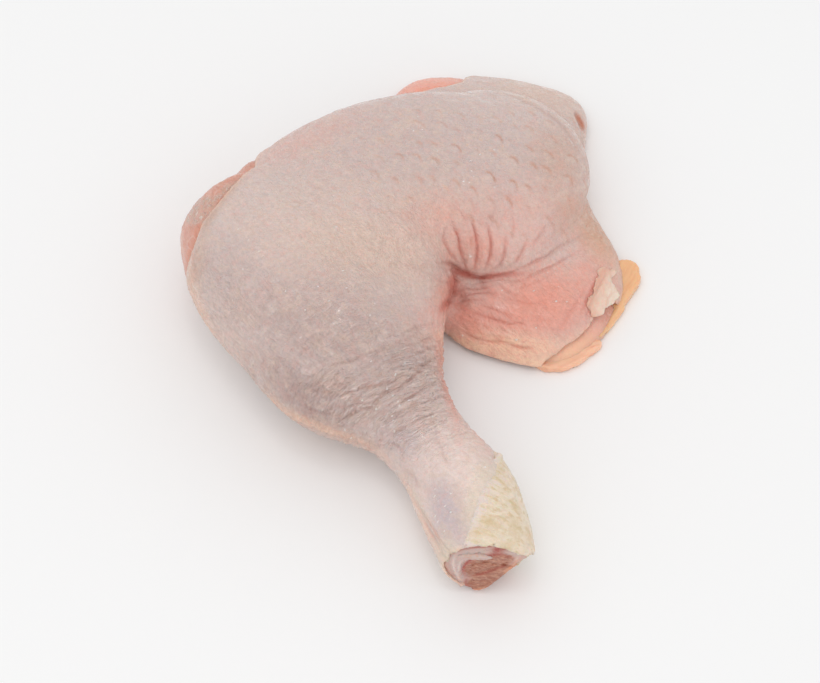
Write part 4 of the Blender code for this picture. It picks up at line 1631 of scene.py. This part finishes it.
def streaky_material(name, pale, dark, stretch, turn=0.0, side=None):
    """A wet finish that goes from pale to dark along streaks, and to the colour side at one side."""
    look = Look(name, pale, scale=2.0)
    graph = look.graph
    streaks = graph.streaks(look.place, turn, stretch, 4.0)
    look.lay(dark, graph.rise(streaks, 0.42, 0.75, 0.0, 0.6))
    if side:
        look.lay(side, "side")
    return look.finish(graph.rise(streaks, 0.3, 0.7, 0.45, 0.3), streaks, 0.2)


def cuff_material(settings):
    look = Look("cuff", settings.cuff, subsurface=0.25, coat=0.25)
    graph, place = look.graph, look.place
    patches = graph.noise(place, 0.2, 3.0, 0.6)
    flecks = graph.streaks(place, CUFF_TURN, (0.22, 0.66, 0.5), 3.0)
    look.lay(settings.cuff_edge, graph.rise(patches, 0.4, 0.7, 0.0, 0.6))
    look.lay(settings.cuff_edge, graph.rise(flecks, 0.5, 0.66, 0.0, 0.75))
    look.lay(settings.cuff_skin, graph.rise(flecks, 0.46, 0.32, 0.0, 0.5))
    look.lay(settings.cuff_edge, look.mark("scale_gap") * 0.3)
    look.lay(settings.cuff_skin, graph.rise(look.mark("scaly") + (flecks - 0.5) * 1.6, 0.75, 0.1))
    relief = graph.noise(place, 1.6, 3.0, 0.6) + flecks * 0.6
    return look.finish(graph.rise(patches, 0.3, 0.7, 0.5, 0.35), relief, 0.35)


def bone_material(settings):
    look = Look("bone", settings.bone_pale, subsurface=0.2)
    pores = cut_face(look)
    return look.finish(look.graph.rise(pores, 0.3, 0.7, 0.5, 0.35), pores, 0.5)


def finish_piece(obj, node, material):
    """Shades obj smooth, moves it to the part's frame, and lets it stand for the node."""
    set_places(obj, places_of(obj) - ORIGIN)
    obj.name = node + "_look"
    obj.data.materials.clear()
    obj.data.materials.append(material)
    obj.data.shade_smooth()
    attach(obj, BODY)
    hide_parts(node)
    return obj


kept_shapes = {}


def shape(name):
    """A new object with the form, or with the folded outer surface. Both are made once and kept as meshes."""
    if "outer" not in kept_shapes:
        form = fine_form(bpy.context.scene.leg_form.grid)
        for key, obj in (("outer", folded(form)), ("form", form)):
            kept_shapes[key] = obj.data.copy()
            bpy.data.objects.remove(obj)
    return link(bpy.data.objects.new(name + "_copy", kept_shapes[name].copy()))


class LEG_OT_skin(bpy.types.Operator):
    """Builds the skin, with its pleats, wrinkles and windows"""

    bl_idname = "leg.skin"
    bl_label = "Skin"

    def execute(self, context):
        settings = context.scene.leg_skin
        skin = shape("outer")
        windows = [ragged(outline, tear, seed) for seed, (outline, tear, _) in enumerate(WINDOWS)]
        windows.append(ragged(CUFF, SKIN_TEAR, CUFF_SEED, inset=SKIN_UNDER_CUFF))
        middles = face_middles(skin)
        keep = within_cuts(middles)
        for window in windows:
            keep &= ~inside(middles, window)
        skin = trim_rim(keep_faces(skin, keep), windows, HEM)
        store(skin, "rim", np.clip(1 - rim_distance(skin, CUFF) / RIM_WIDTH, 0, 1))
        skin = skin_relief().apply(skin, chosen(settings, (*SKIN_SIZES, "Seed")))
        skin = walled(skin, settings.thickness, SKIN_EDGE, SKIN_INNER_SHARE, CUFF)
        finish_piece(skin, "skin", skin_material(settings))
        return {"FINISHED"}


def meat_depth(places, inset):
    """How far under the skin's surface the meat lies. It bulges in the windows and at the hock."""
    bare = np.zeros(len(places))
    for window, _, rise in WINDOWS:
        outline = ragged(window, 0.0, 0)
        low, high = outline.min(axis=0) - BULGE_START, outline.max(axis=0) + BULGE_START
        near = ((places[:, :2] > low) & (places[:, :2] < high)).all(axis=1)
        distance = to_path(places[near, :2], outline)[0]
        depth = np.where(inside(places[near, :2], outline), distance, -distance)
        bare[near] = np.maximum(bare[near], rise * np.clip((depth + BULGE_START) / BULGE_RUN, 0, 1))
    hock = np.clip((HOCK_START - places[:, 1]) / HOCK_RUN, 0, 1)
    return inset - BULGE * bare - HOCK_BULGE * hock


class LEG_OT_meat(bpy.types.Operator):
    """Builds the meat that shows where the skin is cut away"""

    bl_idname = "leg.meat"
    bl_label = "Meat"

    def execute(self, context):
        settings = context.scene.leg_meat
        grid = context.scene.leg_form.meat_grid
        inset = context.scene.leg_skin.thickness / MM + SKIN_CLEAR
        meat = shape("form")
        places = places_of(meat)
        places -= normals_of(meat) * meat_depth(places, inset)[:, None]
        places[:, 2] -= inset * np.clip(1 - places[:, 2] / SINK_HEIGHT, 0, SINK_MOST)
        set_places(meat, places)
        meat = without(melted(meat, grid, MEAT_MELT), slab("board", BOARD, -WELL_CLEAR, 0))
        meat = remeshed(cut_hock(meat, MEAT_SET_BACK), grid * MEAT_EVEN)
        for _ in range(2):
            meat = refined(meat, CUT_FACE)
        press(meat, CUT_STROKES)
        paint(meat, {**MEAT_PATCHES, **CUT_PATCHES}, CUT_LINES)
        meat = flesh_relief().apply(meat, chosen(settings, MEAT_SIZES))
        finish_piece(meat, "meat", meat_material(settings))
        return {"FINISHED"}


class LEG_OT_hock(bpy.types.Operator):
    """Builds the shin bone, the tendon and the cuff of scaly skin at the cut hock"""

    bl_idname = "leg.hock"
    bl_label = "Hock"

    def execute(self, context):
        self.bone(context.scene.leg_trim)
        self.tendon(context.scene.leg_trim)
        self.cuff(context.scene.leg_trim, context.scene.leg_skin)
        return {"FINISHED"}

    def bone(self, settings):
        knobs = [lump("knob", *knob, KNOB_SEGMENTS) for knob in BONE_KNOBS]
        bone = remeshed(joined([limb("shin", BONE)] + knobs), BONE_GRIDS[0] * MM)
        bone = remeshed(cut_hock(bone, MEAT_SET_BACK - BONE_PROUD), BONE_GRIDS[1] * MM)
        press(bone, CUT_STROKES)
        bone = grained(bone, "Bone relief", *BONE_GRAIN)
        paint(bone, CUT_PATCHES, CUT_LINES)
        finish_piece(bone, "shank_bone", bone_material(settings))

    def tendon(self, settings):
        tendon = cut_hock(lump("cord", *TENDON, LUMP_SEGMENTS), MEAT_SET_BACK - TENDON_PROUD)
        tendon = grained(remeshed(tendon, TENDON_GRID * MM), "Tendon relief", *TENDON_GRAIN)
        look = streaky_material("tendon", settings.tendon, settings.bone_pale, TENDON_GRAIN[1])
        finish_piece(tendon, "tendon", look)

    def cuff(self, settings, skin_settings):
        cuff = shape("outer")
        picture = picture_of(places_of(cuff))
        lift_points(cuff, CUFF_LIFT + stroke(picture, *CUFF_TIP))
        from_side = to_path(picture, smooth_path(CUFF_SIDE))[0]
        store(cuff, "scaly", np.clip(from_side / CUFF_START, 0, 1))
        outline = ragged(CUFF, CUFF_TEAR, CUFF_SEED)
        middles = face_middles(cuff)
        cuff = keep_faces(cuff, within_cuts(middles) & inside(middles, outline))
        cuff = trim_rim(cuff, [outline], HEM)
        values = {**chosen(settings, SCALE_SIZES), **chosen(skin_settings, ("Lump Height", "Seed"))}
        cuff = walled(scale_relief().apply(cuff, values), CUFF_THICKNESS * MM, CUFF_EDGE)
        finish_piece(cuff, "shank_cuff", cuff_material(settings))


class LEG_OT_flap_end(bpy.types.Operator):
    """Builds the fat, the fold and the torn flake at the belly flap's end"""

    bl_idname = "leg.flap_end"
    bl_label = "Flap end"

    def execute(self, context):
        settings = context.scene.leg_trim
        fat, look = self.strip("fat", FAT_STRIP, settings.fat, settings.fat_deep)
        finish_piece(fat, "flap_fat", look)
        lip, look = self.strip("lip", LIP_STRIP, settings.lip, settings.lip_deep)
        finish_piece(lip, "flap_lip", look)
        scrap = self.flake()
        pale, deep = settings.scrap, settings.scrap_deep
        look = streaky_material("scrap", pale, deep, FLAKE_STREAKS, side=deep)
        finish_piece(scrap, "skin_scrap", look)
        return {"FINISHED"}

    def strip(self, name, sizes, pale, deep):
        """A torn, rounded strip that lies on the board, and its material."""
        outline, tear, seed, height, grid, melt, grain = sizes
        piece = melted(slab(name, ragged(outline, tear, seed), 0.0, height), grid * MM, melt)
        piece = grained(piece, name.capitalize() + " relief", *grain)
        return rested(piece), streaky_material(name, pale, deep, *grain[1:])

    def flake(self):
        """The flake: a torn piece of the skin's surface that curls up from one side."""
        flake = shape("outer")
        edge = ragged(FLAKE, FLAKE_TEAR, FLAKE_SEED)
        flake = trim_rim(keep_faces(flake, inside(face_middles(flake), edge)), [edge])
        places = places_of(flake)
        from_side = to_path(picture_of(places), smooth_path(FLAKE_SIDE))[0]
        rise = np.clip(from_side / FLAKE_RISE, 0, 1)
        store(flake, "side", 1 - rise)
        low, high, sway, waves = FLAKE_CURL
        lift_points(flake, low + rise * (high + sway * np.sin(places[:, 1] * waves)))
        flake = grained(flake, "Flake relief", *FLAKE_GRAIN)
        return walled(flake, FLAKE_THICKNESS * MM, FLAKE_EDGE)


class LEG_OT_stage(bpy.types.Operator):
    """Sets the floor, the lights and the camera"""

    bl_idname = "leg.stage"
    bl_label = "Stage"

    def execute(self, context):
        settings = context.scene.leg_stage
        self.floor(settings.floor)
        world = bpy.data.worlds.new("studio")
        world.use_nodes = True
        world.node_tree.nodes["Background"].inputs["Color"].default_value = (1, 1, 1, 1)
        world.node_tree.nodes["Background"].inputs["Strength"].default_value = settings.world
        context.scene.world = world
        for name, (place, size) in LAMPS.items():
            self.light(name, place, size, getattr(settings, name))
        camera = bpy.data.cameras.new("camera")
        camera.lens = LENS
        camera.sensor_width = SENSOR
        eye = link(bpy.data.objects.new("camera", camera))
        eye.location = Vector(AIM - ORIGIN + TO_CAMERA * CAMERA_DISTANCE) * MM
        eye.rotation_euler = (math.pi / 2 - TILT, 0, 0)
        context.scene.camera = eye
        context.scene.view_settings.view_transform = "Standard"
        return {"FINISHED"}

    def floor(self, shade):
        bpy.ops.mesh.primitive_plane_add(size=FLOOR_SIZE, location=(0, 0, 0))
        floor = bpy.context.object
        floor.name = "floor"
        paper = bpy.data.materials.new("floor")
        paper.use_nodes = True
        shader = paper.node_tree.nodes["Principled BSDF"]
        shader.inputs["Base Color"].default_value = (*shade, 1.0)
        shader.inputs["Roughness"].default_value = 0.9
        shader.inputs["Specular IOR Level"].default_value = 0.0
        floor.data.materials.append(paper)

    def light(self, name, place, size, energy):
        lamp = bpy.data.lights.new(name, "AREA")
        lamp.shape = "DISK"
        lamp.size = size
        lamp.energy = energy
        obj = link(bpy.data.objects.new(name, lamp))
        obj.location = place
        obj.rotation_euler = (-Vector(place)).to_track_quat("-Z", "Y").to_euler()


class LEG_PT_panel(bpy.types.Panel):
    """Lists the pieces of the leg quarter and their settings"""

    bl_idname = "LEG_PT_panel"
    bl_label = "Leg quarter"
    bl_space_type = "VIEW_3D"
    bl_region_type = "UI"
    bl_category = "Leg quarter"

    def draw(self, context):
        for operator in OPERATORS:
            self.layout.operator(operator.bl_idname)
        for name, group in GROUPS.items():
            for key in group.__annotations__:
                self.layout.prop(getattr(context.scene, name), key)


OPERATORS = (LEG_OT_stage, LEG_OT_skin, LEG_OT_meat, LEG_OT_hock, LEG_OT_flap_end)
GROUPS = {
    "leg_form": FormSettings,
    "leg_skin": SkinSettings,
    "leg_meat": MeatSettings,
    "leg_trim": TrimSettings,
    "leg_stage": StageSettings,
}


def register():
    for name, group in GROUPS.items():
        bpy.utils.register_class(group)
        setattr(bpy.types.Scene, name, PointerProperty(type=group))
    for listed in (*OPERATORS, LEG_PT_panel):
        bpy.utils.register_class(listed)


def unregister():
    for listed in (LEG_PT_panel, *reversed(OPERATORS)):
        bpy.utils.unregister_class(listed)
    for name, group in reversed(GROUPS.items()):
        delattr(bpy.types.Scene, name)
        bpy.utils.unregister_class(group)


def main():
    register()
    bpy.ops.leg.stage()
    bpy.ops.leg.skin()
    bpy.ops.leg.meat()
    bpy.ops.leg.hock()
    bpy.ops.leg.flap_end()


if __name__ == "__main__":
    main()
